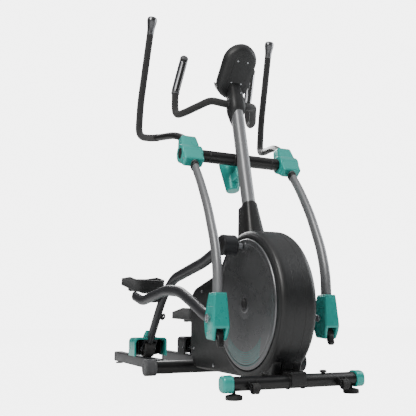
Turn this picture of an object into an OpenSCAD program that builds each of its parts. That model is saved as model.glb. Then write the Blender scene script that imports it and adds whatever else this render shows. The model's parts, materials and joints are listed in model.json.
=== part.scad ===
// Elliptical trainer with a front drive housing, swing arms, rolling pedal arms and rear rails.
// The user faces -Y, +X is the user's left. The origin is on the floor, in the middle of the plan.

/* [Frame] */
// Half of the overall length, from the transport wheels to the rail end caps
half_length = 930; // [926:1:960]
// Half-length of the front stabiliser, to the face of its end cap
stab_half = 282; // [260:1:300]
// Distance of each rail, roller and pedal arm from the middle plane
arm_x = 154; // [146:1:160]
// Height of the rails' running surface
rail_top = 68.4; // [60:0.1:72]
// Lean of the mast from the vertical, in degrees
mast_lean = 13.2; // [12:0.1:14]

/* [Crank] */
// Place of the crank axis along the machine
crank_y = -640; // [-645:1:-630]
// Height of the crank axis
crank_z = 322; // [315:1:330]
// Distance from the crank axis to each crank pin
crank_r = 223; // [215:1:228]
// Radius of the round crank discs
disc_r = 250; // [245:1:252]

/* [Swing arms] */
// Distance of each swing arm from the middle plane
swing_x = 234; // [228:1:238]
// Place of the swing axis along the machine
axle_y = -461; // [-465:1:-455]
// Height of the swing axis
axle_z = 948; // [940:1:955]
// Place of the lower swing pivot along the machine
yoke_y = -727; // [-732:1:-722]
// Height of the lower swing pivot
yoke_z = 265; // [260:1:270]

/* [Pedals] */
// Length of each pedal
pedal_l = 345; // [320:1:360]
// Width of each pedal
pedal_w = 164; // [150:1:168]
// Radius of the rail rollers
roller_r = 46.3; // [44:0.1:47]

/* [Hidden] */
$fn = 48;

teal = [0.20, 0.62, 0.58];
silver = [0.62, 0.64, 0.66];
charcoal = [0.16, 0.17, 0.18];
black = [0.07, 0.07, 0.08];
steel = [0.75, 0.76, 0.78];

// Front stabiliser
stab_y = -870;
stab_z = 51;
stab_r = 23.5;
cap_l = 34;
foot_x = 235;
foot_r = 28.5;
wheel_x = 178;
wheel_z = 38;
wheel_r = 18;
wheel_y = wheel_r - half_length;

// Middle stabiliser and rails
mid_y = 27;
mid_z = 38.5;
mid_r = 30;
mid_half = 214;
mid_cap_r = 38.5;
mid_cap_l = 54;
rail_w = 50;
rail_z = 13;
rail_front = mid_y + mid_r - 4;
rail_cap_l = 8;

// Housing
drum_r = 284;
drum_half = 76;
edge_r = 28;
band_half = 22;
wall = 4;
tail_y = -120;
tail_half = 60;
skirt_z = 42;

// Drive
pulley_r = 150;
pulley_x = 45;
flywheel_y = -300;
flywheel_z = 250;
flywheel_r = 120;
small_pulley_r = 25;
axle_r = 15;
shell_half = 32;
fork_in = 24;
shaft_r = 7;

// Mast
mast_w = 50;
mast_d = 64;
mast_from = 297;
mast_to = 930;
mast_wall = 3;

// Swing arm
swing_axle_r = 27;
stub_r = 17;
bracket_in = 188;
bracket_out = 282;
yoke_w = 66;
link_w = 30;
link_h = 48;
pin_r = 9;
fit = 0.05;

// Lower linkage, taken at rest with the right crank pin straight up and the left one straight down
roller_z = rail_top + roller_r + 0.3;
roller_y = 331;
pin_up = [crank_y, crank_z + crank_r];
pin_down = [crank_y, crank_z - crank_r];
reach = norm([roller_y, roller_z] - pin_up);
roller_left_y = crank_y + sqrt(pow(reach, 2) - pow(roller_z - pin_down[1], 2));
arm_turn = atan2(roller_z - pin_down[1], roller_left_y - crank_y)
    - atan2(roller_z - pin_up[1], roller_y - crank_y);
knee = [102, 362];
knee_left = pin_down + turned(knee - pin_up, arm_turn);
link_turn = atan2(knee_left[1] - yoke_z, knee_left[0] - yoke_y)
    - atan2(knee[1] - yoke_z, knee[0] - yoke_y);
arm_tube_r = 20;

// Console
console_y = -438;
console_z = 1371;
console_tilt = 46;

// A plane vector turned by an angle in degrees
function turned(v, a) = [v[0] * cos(a) - v[1] * sin(a), v[0] * sin(a) + v[1] * cos(a)];
function unit(v) = v / norm(v);

// A path through corner points, where each corner is rounded by a parabola that starts cut mm away
function bend(a, b, c, cut, n) = [for (i = [0:n]) let (s = i / n, p = b + unit(a - b) * cut,
    q = b + unit(c - b) * cut) p * pow(1 - s, 2) + b * 2 * s * (1 - s) + q * pow(s, 2)];
function rounded(pts, cut, n = 6) = concat([pts[0]],
    [for (i = [1:len(pts) - 2]) each bend(pts[i - 1], pts[i], pts[i + 1], cut, n)],
    [pts[len(pts) - 1]]);

// Directions along a path, and side directions carried along it without twist
function along(p, i) = unit(p[min(i + 1, len(p) - 1)] - p[max(i - 1, 0)]);
function carried(n, t) = unit(n - t * (n * t));
function sides(p, start) = [for (i = 0, n = carried(start, along(p, 0)); i < len(p);
    i = i + 1, n = carried(n, along(p, min(i, len(p) - 1)))) n];

// A solid tube with an oval section, a by b in half-widths, swept along a path. Its section starts at
// the size first and grows evenly to 1 over the points
module sweep(p, a, b, start = [1, 0, 0], count = 20, first = 1) {
    side = sides(p, start);
    rings = [for (i = [0:len(p) - 1]) let (t = along(p, i), u = side[i], v = cross(t, u))
        for (k = [0:count - 1]) let (w = 360 * k / count, g = first + (1 - first) * i / (len(p) - 1))
            p[i] + u * a * g * cos(w) + v * b * g * sin(w)];
    last = (len(p) - 1) * count;
    faces = concat(
        [[for (k = [count - 1:-1:0]) k]],
        [for (i = [0:len(p) - 2]) for (k = [0:count - 1]) let (m = (k + 1) % count)
            [i * count + k, i * count + m, (i + 1) * count + m, (i + 1) * count + k]],
        [[for (k = [0:count - 1]) last + k]]);
    polyhedron(rings, [for (f = faces) [for (k = [len(f) - 1:-1:0]) f[k]]]);
}

// A path in a plane x = const from (y, z) pairs
function in_plane(x, pts) = [for (q = pts) [x, q[0], q[1]]];

// Rectangle with round corners, centred
module round_rect(w, h, r) {
    square([w - 2 * r, h], center = true);
    square([w, h - 2 * r], center = true);
    for (x = [-1, 1]) for (y = [-1, 1]) translate([x * (w / 2 - r), y * (h / 2 - r)]) circle(r);
}

module rod_x(r, from, to, y, z) {
    translate([from, y, z]) rotate([0, 90, 0]) cylinder(r = r, h = to - from);
}

// Extrudes a (y, z) outline along X
module plate_x(from, to) {
    translate([from, 0, 0]) rotate([90, 0, 90]) linear_extrude(to - from) children();
}

module both() {
    children();
    mirror([1, 0, 0]) children();
}

// Frame of the mast's own axis, which starts at the crank axis and leans to the rear
module on_mast() {
    translate([0, crank_y, crank_z]) rotate([-mast_lean, 0, 0]) children();
}

function mast_point(s) = [crank_y + s * sin(mast_lean), crank_z + s * cos(mast_lean)];

// Frame of the console: local Z faces the user, local Y goes up the face
module on_console() {
    translate([0, console_y, console_z]) rotate([console_tilt, 0, 180]) children();
}

// Left-hand parts of the lower linkage are the mirrored right-hand parts, turned about their pins
module left_arm() {
    translate([0, pin_down[0], pin_down[1]]) rotate([arm_turn, 0, 0])
        translate([0, -pin_up[0], -pin_up[1]]) mirror([1, 0, 0]) children();
}

module left_link() {
    translate([0, yoke_y, yoke_z]) rotate([link_turn, 0, 0]) translate([0, -yoke_y, -yoke_z])
        mirror([1, 0, 0]) children();
}

// ---- floor frame ----

module front_stabiliser() {
    color(black) {
        difference() {
            rod_x(stab_r, -stab_half + cap_l, stab_half - cap_l, stab_y, stab_z);
            rod_x(stab_r - 2.5, -stab_half + cap_l - 1, stab_half - cap_l + 1, stab_y, stab_z);
            both() translate([foot_x, stab_y, 0]) cylinder(r = 6, h = stab_z);
        }
        both() for (side = [-1, 1]) difference() {
            plate_x(wheel_x + side * 15 - 2, wheel_x + side * 15 + 2) polygon([[wheel_y - 8,
                wheel_z - 9], [wheel_y - 8, wheel_z + 9], [stab_y - 10, stab_z + 16],
                [stab_y - 10, stab_z - 16]]);
            rod_x(stab_r - 1, wheel_x - 30, wheel_x + 30, stab_y, stab_z);
        }
        both() rod_x(4, wheel_x - 19, wheel_x + 19, wheel_y, wheel_z);
    }
}

module front_end_caps() {
    color(teal) both() plate_x(stab_half - cap_l, stab_half)
        translate([stab_y, stab_z]) round_rect(54, 56, 16);
}

// A screw-in rubber foot under the front tube
module front_foot() {
    translate([foot_x, stab_y, 0]) {
        cylinder(r = foot_r, h = 14);
        translate([0, 0, 14]) cylinder(r1 = foot_r, r2 = 13, h = 5);
        cylinder(r = 5.9, h = stab_z - 2);
    }
}

module front_foot_right() {
    color(black) mirror([1, 0, 0]) front_foot();
}

module front_foot_left() {
    color(black) front_foot();
}

module transport_wheel() {
    difference() {
        rod_x(wheel_r, wheel_x - 12.5, wheel_x + 12.5, wheel_y, wheel_z);
        rod_x(4 + fit, wheel_x - 14, wheel_x + 14, wheel_y, wheel_z);
    }
}

module transport_wheel_right() {
    color(charcoal) mirror([1, 0, 0]) transport_wheel();
}

module transport_wheel_left() {
    color(charcoal) transport_wheel();
}

// Spine, upright with the crank's bearing shell, and fork plates for the flywheel
module main_frame() {
    color(black) difference() {
        union() {
            translate([-25, stab_y + stab_r - 3, 44]) cube([50, mid_y - mid_r - stab_y - stab_r + 6, 38]);
            on_mast() translate([0, 0, -240]) linear_extrude(660) round_rect(44, 58, 21);
            rod_x(38, -shell_half, shell_half, crank_y, crank_z);
            for (x = [-fork_in - 6, fork_in]) plate_x(x, x + 6) {
                polygon([[flywheel_y - 60, 80], [flywheel_y + 60, 80],
                    [flywheel_y + 24, flywheel_z], [flywheel_y - 24, flywheel_z]]);
                translate([flywheel_y, flywheel_z]) circle(24);
            }
        }
        rod_x(26, -shell_half - 1, shell_half + 1, crank_y, crank_z);
        rod_x(shaft_r + fit, -40, 40, flywheel_y, flywheel_z);
        rod_x(stab_r, -60, 60, stab_y, stab_z);
        rod_x(mid_r, -60, 60, mid_y, mid_z);
    }
}

module mid_stabiliser() {
    color(black) difference() {
        rod_x(mid_r, -mid_half, mid_half, mid_y, mid_z);
        rod_x(mid_r - 2.5, -mid_half - 1, mid_half + 1, mid_y, mid_z);
    }
}

module mid_end_caps() {
    color(charcoal) both() {
        rod_x(mid_cap_r, mid_half, mid_half + mid_cap_l - 6, mid_y, mid_z);
        translate([mid_half + mid_cap_l - 6, mid_y, mid_z]) rotate([0, 90, 0])
            cylinder(r1 = mid_cap_r, r2 = mid_cap_r - 6, h = 6);
    }
}

module rail() {
    end = half_length - rail_cap_l;
    difference() {
        translate([arm_x - rail_w / 2, rail_front, rail_z])
            cube([rail_w, end - rail_front, rail_top - rail_z]);
        translate([arm_x - rail_w / 2 + 3, rail_front + 20, rail_z + 3])
            cube([rail_w - 6, end - rail_front, rail_top - rail_z - 6]);
        rod_x(mid_r, arm_x - rail_w, arm_x + rail_w, mid_y, mid_z);
    }
    for (y = [100, 650]) translate([arm_x - 12, y - 6, rail_top]) cube([24, 12, 5]);
}

module rail_right() {
    color(charcoal) mirror([1, 0, 0]) rail();
}

module rail_left() {
    color(charcoal) rail();
}

module rail_end_caps() {
    color(charcoal) both() translate([arm_x, half_length - rail_cap_l, (rail_z + rail_top) / 2])
        rotate([-90, 0, 0]) linear_extrude(rail_cap_l) round_rect(rail_w, rail_top - rail_z, 6);
}

module rear_feet() {
    color(black) both() translate([arm_x, half_length - 34, 0]) cylinder(r = 22, h = rail_z);
}

// ---- housing ----

// Side outline of the tail: the drum's circle, a round-cornered box behind it, and a flat skirt
module tail_outline(grow) {
    intersection() {
        union() {
            translate([crank_y, crank_z]) circle(drum_r - 20 + grow, $fn = 96);
            hull() {
                translate([tail_y, 326]) circle(85 + grow, $fn = 72);
                translate([tail_y - 5, 130]) circle(88 + grow, $fn = 72);
                translate([-430, 456]) circle(20 + grow);
                translate([crank_y, 200]) circle(90 + grow);
            }
            polygon([[crank_y - 195 - grow, 120], [crank_y - 165 - grow, skirt_z - grow],
                [tail_y + grow, skirt_z - grow], [tail_y + 40 + grow, 140]]);
        }
        translate([-2000, skirt_z - grow]) square([4000, 2000]);
    }
}

// Half section of the drum from the middle plane to its side face, with a rounded edge
module drum_section(grow) {
    polygon(concat([[0, 0], [drum_r + grow, 0]],
        [for (a = [0:15:90]) [drum_r - edge_r + (edge_r + grow) * cos(a),
            drum_half - edge_r + (edge_r + grow) * sin(a)]],
        [[0, drum_half + grow]]));
}

module drum_half_solid(grow) {
    translate([0, crank_y, crank_z]) rotate([0, 90, 0])
        rotate_extrude($fn = 96) drum_section(grow);
}

module housing_solid(grow) {
    drum_half_solid(grow);
    plate_x(0, tail_half - 8 + grow) tail_outline(grow);
    plate_x(tail_half - 8 + grow, tail_half + grow) tail_outline(grow - 7);
}

module mast_passage() {
    on_mast() translate([0, 0, 150]) linear_extrude(300) round_rect(mast_w + 2, mast_d + 2, 24);
}

module spine_passage() {
    translate([-27, -1000, 30]) cube([54, 1200, 54]);
}

module housing_shell() {
    difference() {
        housing_solid(0);
        housing_solid(-wall);
        translate([-1, -2000, -100]) cube([band_half + 1, 4000, 2000]);
        rod_x(disc_r + 3, tail_half - 10, drum_half + 10, crank_y, crank_z);
        mast_passage();
        spine_passage();
    }
}

module housing_right() {
    color(charcoal) mirror([1, 0, 0]) housing_shell();
}

module housing_left() {
    color(charcoal) housing_shell();
}

module band_outline(grow) {
    tail_outline(grow);
    intersection() {
        translate([crank_y, crank_z]) circle(drum_r + grow, $fn = 96);
        translate([-2000, skirt_z - grow]) square([4000, 2000]);
    }
}

module housing_band() {
    color(black) difference() {
        plate_x(-band_half, band_half) band_outline(0);
        plate_x(-band_half - 1, band_half + 1) band_outline(-wall);
        mast_passage();
        spine_passage();
    }
}

module mast_cover() {
    color(black) difference() {
        on_mast() hull() {
            translate([0, 17, 262]) linear_extrude(1) round_rect(90, 131, 26, $fn = 32);
            translate([0, 13, 420]) linear_extrude(1) round_rect(58, 98, 22, $fn = 32);
        }
        on_mast() translate([0, 0, mast_from]) linear_extrude(200)
            round_rect(mast_w, mast_d, mast_w / 2 - 1);
        on_mast() translate([0, 0, 200]) linear_extrude(200) round_rect(44, 58, 21);
        rod_x(drum_r, -60, 60, crank_y, crank_z, $fn = 96);
    }
}

// ---- mast, handlebar and console ----

module mast() {
    color(silver) difference() {
        on_mast() translate([0, 0, mast_from]) linear_extrude(mast_to - mast_from)
            round_rect(mast_w, mast_d, mast_w / 2 - 1);
        on_mast() translate([0, 0, mast_from - 1]) linear_extrude(mast_to - mast_from - 20)
            round_rect(mast_w - 2 * mast_wall, mast_d - 2 * mast_wall, 21);
        rod_x(swing_axle_r, -60, 60, axle_y, axle_z);
    }
}

module cross_axle() {
    color(black) {
        rod_x(swing_axle_r, -bracket_in + 2, bracket_in - 2, axle_y, axle_z);
        rod_x(stub_r, -bracket_out + 12, bracket_out - 12, axle_y, axle_z);
    }
}

// Fixed handlebar: out of the clamp, to the rear and outwards, then round and up into the grips
bar_r = 17;
bar_low = [[0, -428, 1214], [58, -426, 1216], [108, -392, 1236], [184, -240, 1214],
    [197, -184, 1222], [198, -165, 1262], [196, -163, 1338]];
grip_r = 20;
grip_top = [181, -243, 1490];

module handlebar() {
    color(black) both() sweep(rounded(bar_low, 26), bar_r, bar_r, [0, 1, 0]);
}

module pulse_grips() {
    color(steel) both() {
        sweep(rounded([[196, -163, 1338.3], [195.5, -166, 1352], grip_top], 12), grip_r, grip_r);
        translate(grip_top) sphere(r = grip_r - 0.4);
    }
}

module clamp_cover() {
    color(charcoal) difference() {
        on_mast() union() {
            translate([0, 4, 880]) linear_extrude(66) round_rect(74, 92, 30);
            translate([0, 0, 845]) linear_extrude(35) round_rect(58, 74, 26);
        }
        on_mast() translate([0, 0, 800]) linear_extrude(mast_to - 800)
            round_rect(mast_w, mast_d, mast_w / 2 - 1);
        both() sweep([[-10, -428, 1214], [58, -426, 1216]], bar_r + 0.2, bar_r + 0.2, [0, 1, 0]);
    }
}

module console_outline(grow) {
    hull() for (y = [-50, 50]) translate([0, y]) circle(80 + grow, $fn = 48);
}

module console_back() {
    color(charcoal) difference() {
        union() {
            on_console() hull() {
                translate([0, 0, 8]) linear_extrude(4) console_outline(0);
                translate([0, 0, -10]) linear_extrude(4) console_outline(-3);
                translate([0, -8, -32]) linear_extrude(2) console_outline(-34);
            }
            // Ledge for a book or a tablet along the lower edge of the face
            on_console() intersection() {
                translate([0, 0, 8]) linear_extrude(42) difference() {
                    console_outline(0);
                    console_outline(-7);
                }
                translate([-100, -140, 0]) cube([200, 62, 60]);
            }
            on_mast() hull() {
                translate([0, 3, 946]) linear_extrude(1) round_rect(66, 86, 26, $fn = 32);
                translate([0, 0, 1035]) linear_extrude(1) round_rect(46, 50, 20, $fn = 32);
            }
        }
        on_console() translate([-52, -86, 4]) cube([104, 60, 20]);
    }
}

module console_face() {
    color(black) difference() {
        on_console() translate([0, 0, 12]) linear_extrude(5) console_outline(-7.2);
        on_console() translate([-62, -16, 11]) cube([124, 84, 10]);
        on_console() translate([0, -62, 11]) cylinder(r = 15.5, h = 10);
        for (x = [-1, 1]) on_console() translate([x * 36, -58, 11]) cylinder(r = 10.5, h = 10);
    }
}

module screen() {
    color([0.05, 0.08, 0.09]) on_console() translate([-61.5, -15.5, 12]) cube([123, 83, 3.5]);
}

// A round push button with a retaining flange inside the console
module push_button(x, y, r) {
    on_console() translate([x, y, 7]) {
        cylinder(r = r - 0.5, h = 13);
        cylinder(r = r + 2, h = 3);
    }
}

module start_button() {
    color(teal) push_button(0, -62, 15.5);
}

module up_button() {
    color(silver) push_button(-36, -58, 10.5);
}

module down_button() {
    color(silver) push_button(36, -58, 10.5);
}

cup_from = 545;
cup_back = 128;

// Cup behind the mast and parallel to it, on a short arm
module bottle_holder() {
    color(teal) on_mast() {
        difference() {
            translate([0, cup_back, cup_from]) cylinder(r1 = 30, r2 = 50, h = 138, $fn = 64);
            translate([0, cup_back, cup_from + 5]) cylinder(r1 = 27, r2 = 47, h = 134, $fn = 64);
        }
        difference() {
            translate([-18, mast_d / 2 - 10, cup_from + 26])
                cube([36, cup_back - 34 - mast_d / 2 + 10, 46]);
            translate([0, 0, cup_from]) linear_extrude(120) round_rect(mast_w, mast_d, mast_w / 2 - 1);
            translate([0, cup_back, cup_from + 5]) cylinder(r1 = 27, r2 = 47, h = 134, $fn = 64);
        }
    }
}

// ---- drive ----

module crank_bearings() {
    color(steel) both() difference() {
        rod_x(26, shell_half - 16, shell_half - 1, crank_y, crank_z);
        rod_x(axle_r + fit, shell_half - 17, shell_half, crank_y, crank_z);
    }
}

module crank_axle() {
    color(steel) rod_x(axle_r, -78, 78, crank_y, crank_z);
}

// Round crank disc: a dished plate with a rolled rim and a recessed hub
module crank_disc() {
    difference() {
        translate([66, crank_y, crank_z]) rotate([0, 90, 0]) union() {
            cylinder(r = disc_r, h = 14, $fn = 96);
        }
        translate([74, crank_y, crank_z]) rotate([0, 90, 0])
            cylinder(r1 = 60, r2 = disc_r - 12, h = 8, $fn = 96);
        rod_x(18, 78, 82, crank_y, crank_z);
        rod_x(disc_r - 8, 60, 70, crank_y, crank_z, $fn = 96);
        rod_x(axle_r, 60, 90, crank_y, crank_z);
    }
    difference() {
        rod_x(34, 60, 73, crank_y, crank_z);
        rod_x(axle_r, 59, 90, crank_y, crank_z);
    }
}

module crank_disc_right() {
    color(silver) mirror([1, 0, 0]) crank_disc();
}

module crank_disc_left() {
    color(silver) crank_disc();
}

module drive_pulley() {
    color(black) difference() {
        rod_x(pulley_r, pulley_x - 8, pulley_x + 7, crank_y, crank_z);
        rod_x(axle_r, pulley_x - 9, pulley_x + 9, crank_y, crank_z);
        for (a = [0:60:300]) translate([pulley_x - 9, crank_y + 90 * cos(a), crank_z + 90 * sin(a)])
            rotate([0, 90, 0]) cylinder(r = 28, h = 18);
    }
}

module belt_loop(grow) {
    hull() {
        translate([crank_y, crank_z]) circle(pulley_r + grow, $fn = 64);
        translate([flywheel_y, flywheel_z]) circle(small_pulley_r + grow, $fn = 32);
    }
}

module drive_belt() {
    color(black) plate_x(pulley_x - 6, pulley_x + 6) difference() {
        belt_loop(4);
        belt_loop(0.4);
    }
}

module flywheel() {
    color(steel) difference() {
        union() {
            rod_x(flywheel_r, -11, 11, flywheel_y, flywheel_z, $fn = 72);
            rod_x(20, -22, 22, flywheel_y, flywheel_z);
            rod_x(small_pulley_r, pulley_x - 8, pulley_x + 7, flywheel_y, flywheel_z);
        }
        rod_x(shaft_r, -30, pulley_x + 9, flywheel_y, flywheel_z);
    }
}

module flywheel_axle() {
    color(steel) rod_x(shaft_r, -fork_in - 12, pulley_x + 6, flywheel_y, flywheel_z);
}

module magnet_bracket() {
    color(charcoal) translate([-fork_in, flywheel_y, flywheel_z]) rotate([90, 0, 90])
        rotate([0, 0, -112]) rotate_extrude(angle = 44, $fn = 72)
            translate([flywheel_r + 3, 0]) square([12, 2 * fork_in]);
}

// ---- swing arms ----

// Casting on the cross axle that joins the handle above to the swing tube below
module upper_bracket() {
    difference() {
        union() {
            rod_x(41, bracket_in, bracket_out, axle_y, axle_z);
            plate_x(bracket_in + 8, bracket_out - 6) {
                polygon([[axle_y - 34, axle_z + 4], [axle_y + 12, axle_z + 88],
                    [axle_y + 58, axle_z + 78], [axle_y + 40, axle_z + 10]]);
                polygon([[axle_y - 36, axle_z + 18], [axle_y - 62, axle_z - 34],
                    [axle_y - 26, axle_z - 60], [axle_y + 20, axle_z - 34], [axle_y + 30, axle_z]]);
            }
        }
        rod_x(stub_r + fit, bracket_in - 1, bracket_out - 10, axle_y, axle_z);
        rod_x(13, bracket_out - 3, bracket_out + 1, axle_y, axle_z);
    }
}

module upper_bracket_right() {
    color(teal) mirror([1, 0, 0]) upper_bracket();
}

module upper_bracket_left() {
    color(teal) upper_bracket();
}

swing_path = [[axle_y - 36, axle_z - 40], [-572, 812], [-648, 690], [-716, 540], [-740, 440],
    [-740, yoke_z + 88]];

module swing_tube() {
    sweep(rounded(in_plane(swing_x, swing_path), 45), 17, 25, first = 0.75);
}

module swing_tube_right() {
    color(silver) mirror([1, 0, 0]) swing_tube();
}

module swing_tube_left() {
    color(silver) swing_tube();
}

// Foam-covered handle: out of the bracket, to the rear and outwards, then up to the top
handle_path = [[swing_x, axle_y + 38, axle_z + 76], [252, -330, 1072], [300, -130, 1108],
    [337, -30, 1142], [337, -52, 1300], [326.8, -157.7, 1628.9]];
cap_l_grip = 82;

module handle() {
    sweep(rounded(handle_path, 52), 17, 17);
}

module handle_right() {
    color(black) mirror([1, 0, 0]) handle();
}

module handle_left() {
    color(black) handle();
}

// Long end cap on top of the handle, widening towards its domed top
module handle_cap() {
    top = handle_path[5];
    way = unit(top - handle_path[4]);
    translate(top) rotate([acos(way[2]), 0, atan2(way[0], -way[1])]) {
        translate([0, 0, -6]) cylinder(r = 17.3, h = 20);
        translate([0, 0, 14]) cylinder(r1 = 17.3, r2 = 24.5, h = cap_l_grip - 34);
        translate([0, 0, cap_l_grip - 20]) cylinder(r1 = 24.5, r2 = 22, h = 12);
        translate([0, 0, cap_l_grip - 8]) cylinder(r1 = 22, r2 = 13, h = 8);
    }
}

module handle_cap_right() {
    color(silver) mirror([1, 0, 0]) handle_cap();
}

module handle_cap_left() {
    color(silver) handle_cap();
}

// Shoe at the bottom of the swing tube: wider towards the bottom, open behind for the foot link and
// below in front, with a short tongue under the link
module yoke() {
    difference() {
        intersection() {
            plate_x(swing_x - yoke_w / 2, swing_x + yoke_w / 2) {
                translate([yoke_y, yoke_z]) circle(37);
                polygon([[yoke_y - 44, yoke_z + 88], [yoke_y + 18, yoke_z + 88], [yoke_y + 40, yoke_z],
                    [yoke_y + 30, yoke_z - 74], [yoke_y - 32, yoke_z - 78], [yoke_y - 50, yoke_z - 30]]);
            }
            translate([swing_x, yoke_y + 100, yoke_z]) rotate([90, 0, 0]) linear_extrude(200)
                polygon([[-24, 88], [24, 88], [yoke_w / 2, -10], [yoke_w / 2, -50], [yoke_w / 2 - 8, -78],
                    [8 - yoke_w / 2, -78], [-yoke_w / 2, -50], [-yoke_w / 2, -10]]);
        }
        translate([swing_x - link_w / 2 - 2.5, yoke_y - 30, yoke_z - 90])
            cube([link_w + 5, 140, 130]);
        translate([swing_x - link_w / 2 - 2.5, yoke_y - 80, yoke_z - 90])
            cube([link_w + 5, 80, 52]);
        rod_x(pin_r + fit, swing_x - yoke_w / 2 - 1, swing_x + yoke_w / 2 + 1, yoke_y, yoke_z);
    }
    plate_x(swing_x - link_w / 2 - 4, swing_x + link_w / 2 + 4) polygon([[yoke_y - 29, yoke_z - 50],
        [yoke_y - 10, yoke_z - 62], [yoke_y - 26, yoke_z - 96], [yoke_y - 44, yoke_z - 92]]);
}

module yoke_right() {
    color(teal) mirror([1, 0, 0]) yoke();
}

module yoke_left() {
    color(teal) yoke();
}

module yoke_pin() {
    rod_x(pin_r, swing_x - yoke_w / 2, swing_x + yoke_w / 2 + 2, yoke_y, yoke_z);
    rod_x(16, swing_x + yoke_w / 2 + 0.2, swing_x + yoke_w / 2 + 7, yoke_y, yoke_z);
    rod_x(14, swing_x - yoke_w / 2 - 6, swing_x - yoke_w / 2 - 0.2, yoke_y, yoke_z);
}

module yoke_pin_right() {
    color(steel) mirror([1, 0, 0]) yoke_pin();
}

module yoke_pin_left() {
    color(steel) yoke_pin();
}

// ---- pedals and pedal arms ----

link_path = [[yoke_y + 14, yoke_z + 1], [-636, 274], [-490, 330], [-350, 378], [-180, 390],
    [40, 368], [178, 352], [330, 384]];

// Outer link from the yoke to the pedal, with a notched plate over the pedal arm's cross bolt
module foot_link() {
    difference() {
        union() {
            sweep(rounded(in_plane(swing_x, link_path), 50), link_w / 2, link_h / 2);
            rod_x(25, swing_x - link_w / 2 - 1, swing_x + link_w / 2 + 1, yoke_y, yoke_z);
            plate_x(arm_x + arm_tube_r + 8, swing_x - 5) translate([knee[0] - 36, knee[1] - 18])
                square([72, 41]);
        }
        rod_x(pin_r + fit, swing_x - 20, swing_x + 20, yoke_y, yoke_z);
        rod_x(17, arm_x, swing_x - link_w / 2 - 1, knee[0], knee[1]);
        translate([arm_x, knee[0] - 17, knee[1] - 60])
            cube([swing_x - link_w / 2 - 1 - arm_x, 34, 60]);
    }
}

module foot_link_right() {
    color(charcoal) mirror([1, 0, 0]) foot_link();
}

module foot_link_left() {
    color(charcoal) left_link() mirror([1, 0, 0]) foot_link();
}

pedal_tilt = 10;
pedal_front = [278, 408];

// Foot tray with raised rims and an open heel
module pedal() {
    translate([arm_x + 4, pedal_front[0], pedal_front[1]]) rotate([pedal_tilt, 0, 0]) {
        difference() {
            translate([0, pedal_l / 2, -9]) linear_extrude(66) round_rect(pedal_w, pedal_l, 40);
            translate([0, pedal_l / 2, 14]) linear_extrude(60)
                round_rect(pedal_w - 20, pedal_l - 20, 32);
            translate([-200, 150, 57]) rotate([-9, 0, 0]) cube([400, 400, 100]);
        }
        translate([-30, 60, -22]) cube([60, 190, 22]);
    }
}

module pedal_right() {
    color(charcoal) mirror([1, 0, 0]) pedal();
}

module pedal_left() {
    color(charcoal) left_link() mirror([1, 0, 0]) pedal();
}

arm_path = [[-606, 541], [-424, 498], [-62, 452], [70, 386], [150, 312], [296, 152]];

// Bent arm from the crank pin to the roller axle, with its bearing housing and roller fork
module pedal_arm() {
    way = atan2(roller_z - 312, roller_y - 150);
    sweep(rounded(in_plane(arm_x, arm_path), 45), arm_tube_r - 2, arm_tube_r + 4);
    difference() {
        rod_x(40, arm_x - 40, arm_x + 22, pin_up[0], pin_up[1]);
        rod_x(30, arm_x + 18, arm_x + 23, pin_up[0], pin_up[1]);
    }
    rod_x(12, 84, arm_x, pin_up[0], pin_up[1]);
    rod_x(8, arm_x, swing_x - link_w / 2 - 6, knee[0], knee[1]);
    rod_x(14, arm_x + arm_tube_r - 4, arm_x + arm_tube_r + 5, knee[0], knee[1]);
    translate([arm_x, roller_y, roller_z]) rotate([way, 0, 0]) difference() {
        translate([-36, -66, -14]) cube([72, 66, 28]);
        translate([-30, -58, -15]) cube([60, 90, 30]);
    }
    for (x = [-36.5, 29.5]) rod_x(17, arm_x + x, arm_x + x + 7, roller_y, roller_z);
    rod_x(8, arm_x - 40, arm_x + 40, roller_y, roller_z);
}

module pedal_arm_right() {
    color(charcoal) mirror([1, 0, 0]) pedal_arm();
}

module pedal_arm_left() {
    color(charcoal) left_arm() mirror([1, 0, 0]) pedal_arm();
}

module roller(y) {
    difference() {
        rod_x(roller_r, arm_x - 28, arm_x + 28, y, roller_z, $fn = 72);
        rod_x(8 + fit, arm_x - 30, arm_x + 30, y, roller_z);
    }
}

module roller_right() {
    color(black) mirror([1, 0, 0]) roller(roller_y);
}

module roller_left() {
    color(black) roller(roller_left_y);
}

// Arched cover over the roller, open below and in front
module roller_guard(y) {
    difference() {
        translate([arm_x, y + 4, roller_z - 40]) linear_extrude(92.5) round_rect(174, 112, 20);
        translate([arm_x, y + 4, roller_z - 41]) linear_extrude(89.5) round_rect(166, 104, 16);
        translate([arm_x - 78, y - 90, roller_z - 41]) cube([156, 90, 82]);
        rod_x(8 + fit, arm_x - 41, arm_x + 41, y, roller_z);
    }
}

module roller_guard_right() {
    color(teal) mirror([1, 0, 0]) roller_guard(roller_y);
}

module roller_guard_left() {
    color(charcoal) roller_guard(roller_left_y);
}

front_stabiliser();
front_end_caps();
front_foot_right();
front_foot_left();
transport_wheel_right();
transport_wheel_left();
main_frame();
mid_stabiliser();
mid_end_caps();
rail_right();
rail_left();
rail_end_caps();
rear_feet();
housing_right();
housing_left();
housing_band();
mast_cover();
mast();
cross_axle();
handlebar();
pulse_grips();
clamp_cover();
console_back();
console_face();
screen();
start_button();
up_button();
down_button();
bottle_holder();
crank_bearings();
crank_axle();
crank_disc_right();
crank_disc_left();
drive_pulley();
drive_belt();
flywheel();
flywheel_axle();
magnet_bracket();
upper_bracket_right();
upper_bracket_left();
swing_tube_right();
swing_tube_left();
handle_right();
handle_left();
handle_cap_right();
handle_cap_left();
yoke_right();
yoke_left();
yoke_pin_right();
yoke_pin_left();
foot_link_right();
foot_link_left();
pedal_right();
pedal_left();
pedal_arm_right();
pedal_arm_left();
roller_right();
roller_left();
roller_guard_right();
roller_guard_left();
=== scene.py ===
"""Elliptical trainer: surfaces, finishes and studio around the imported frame. Lengths here are in millimetres."""
import json
import math

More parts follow.
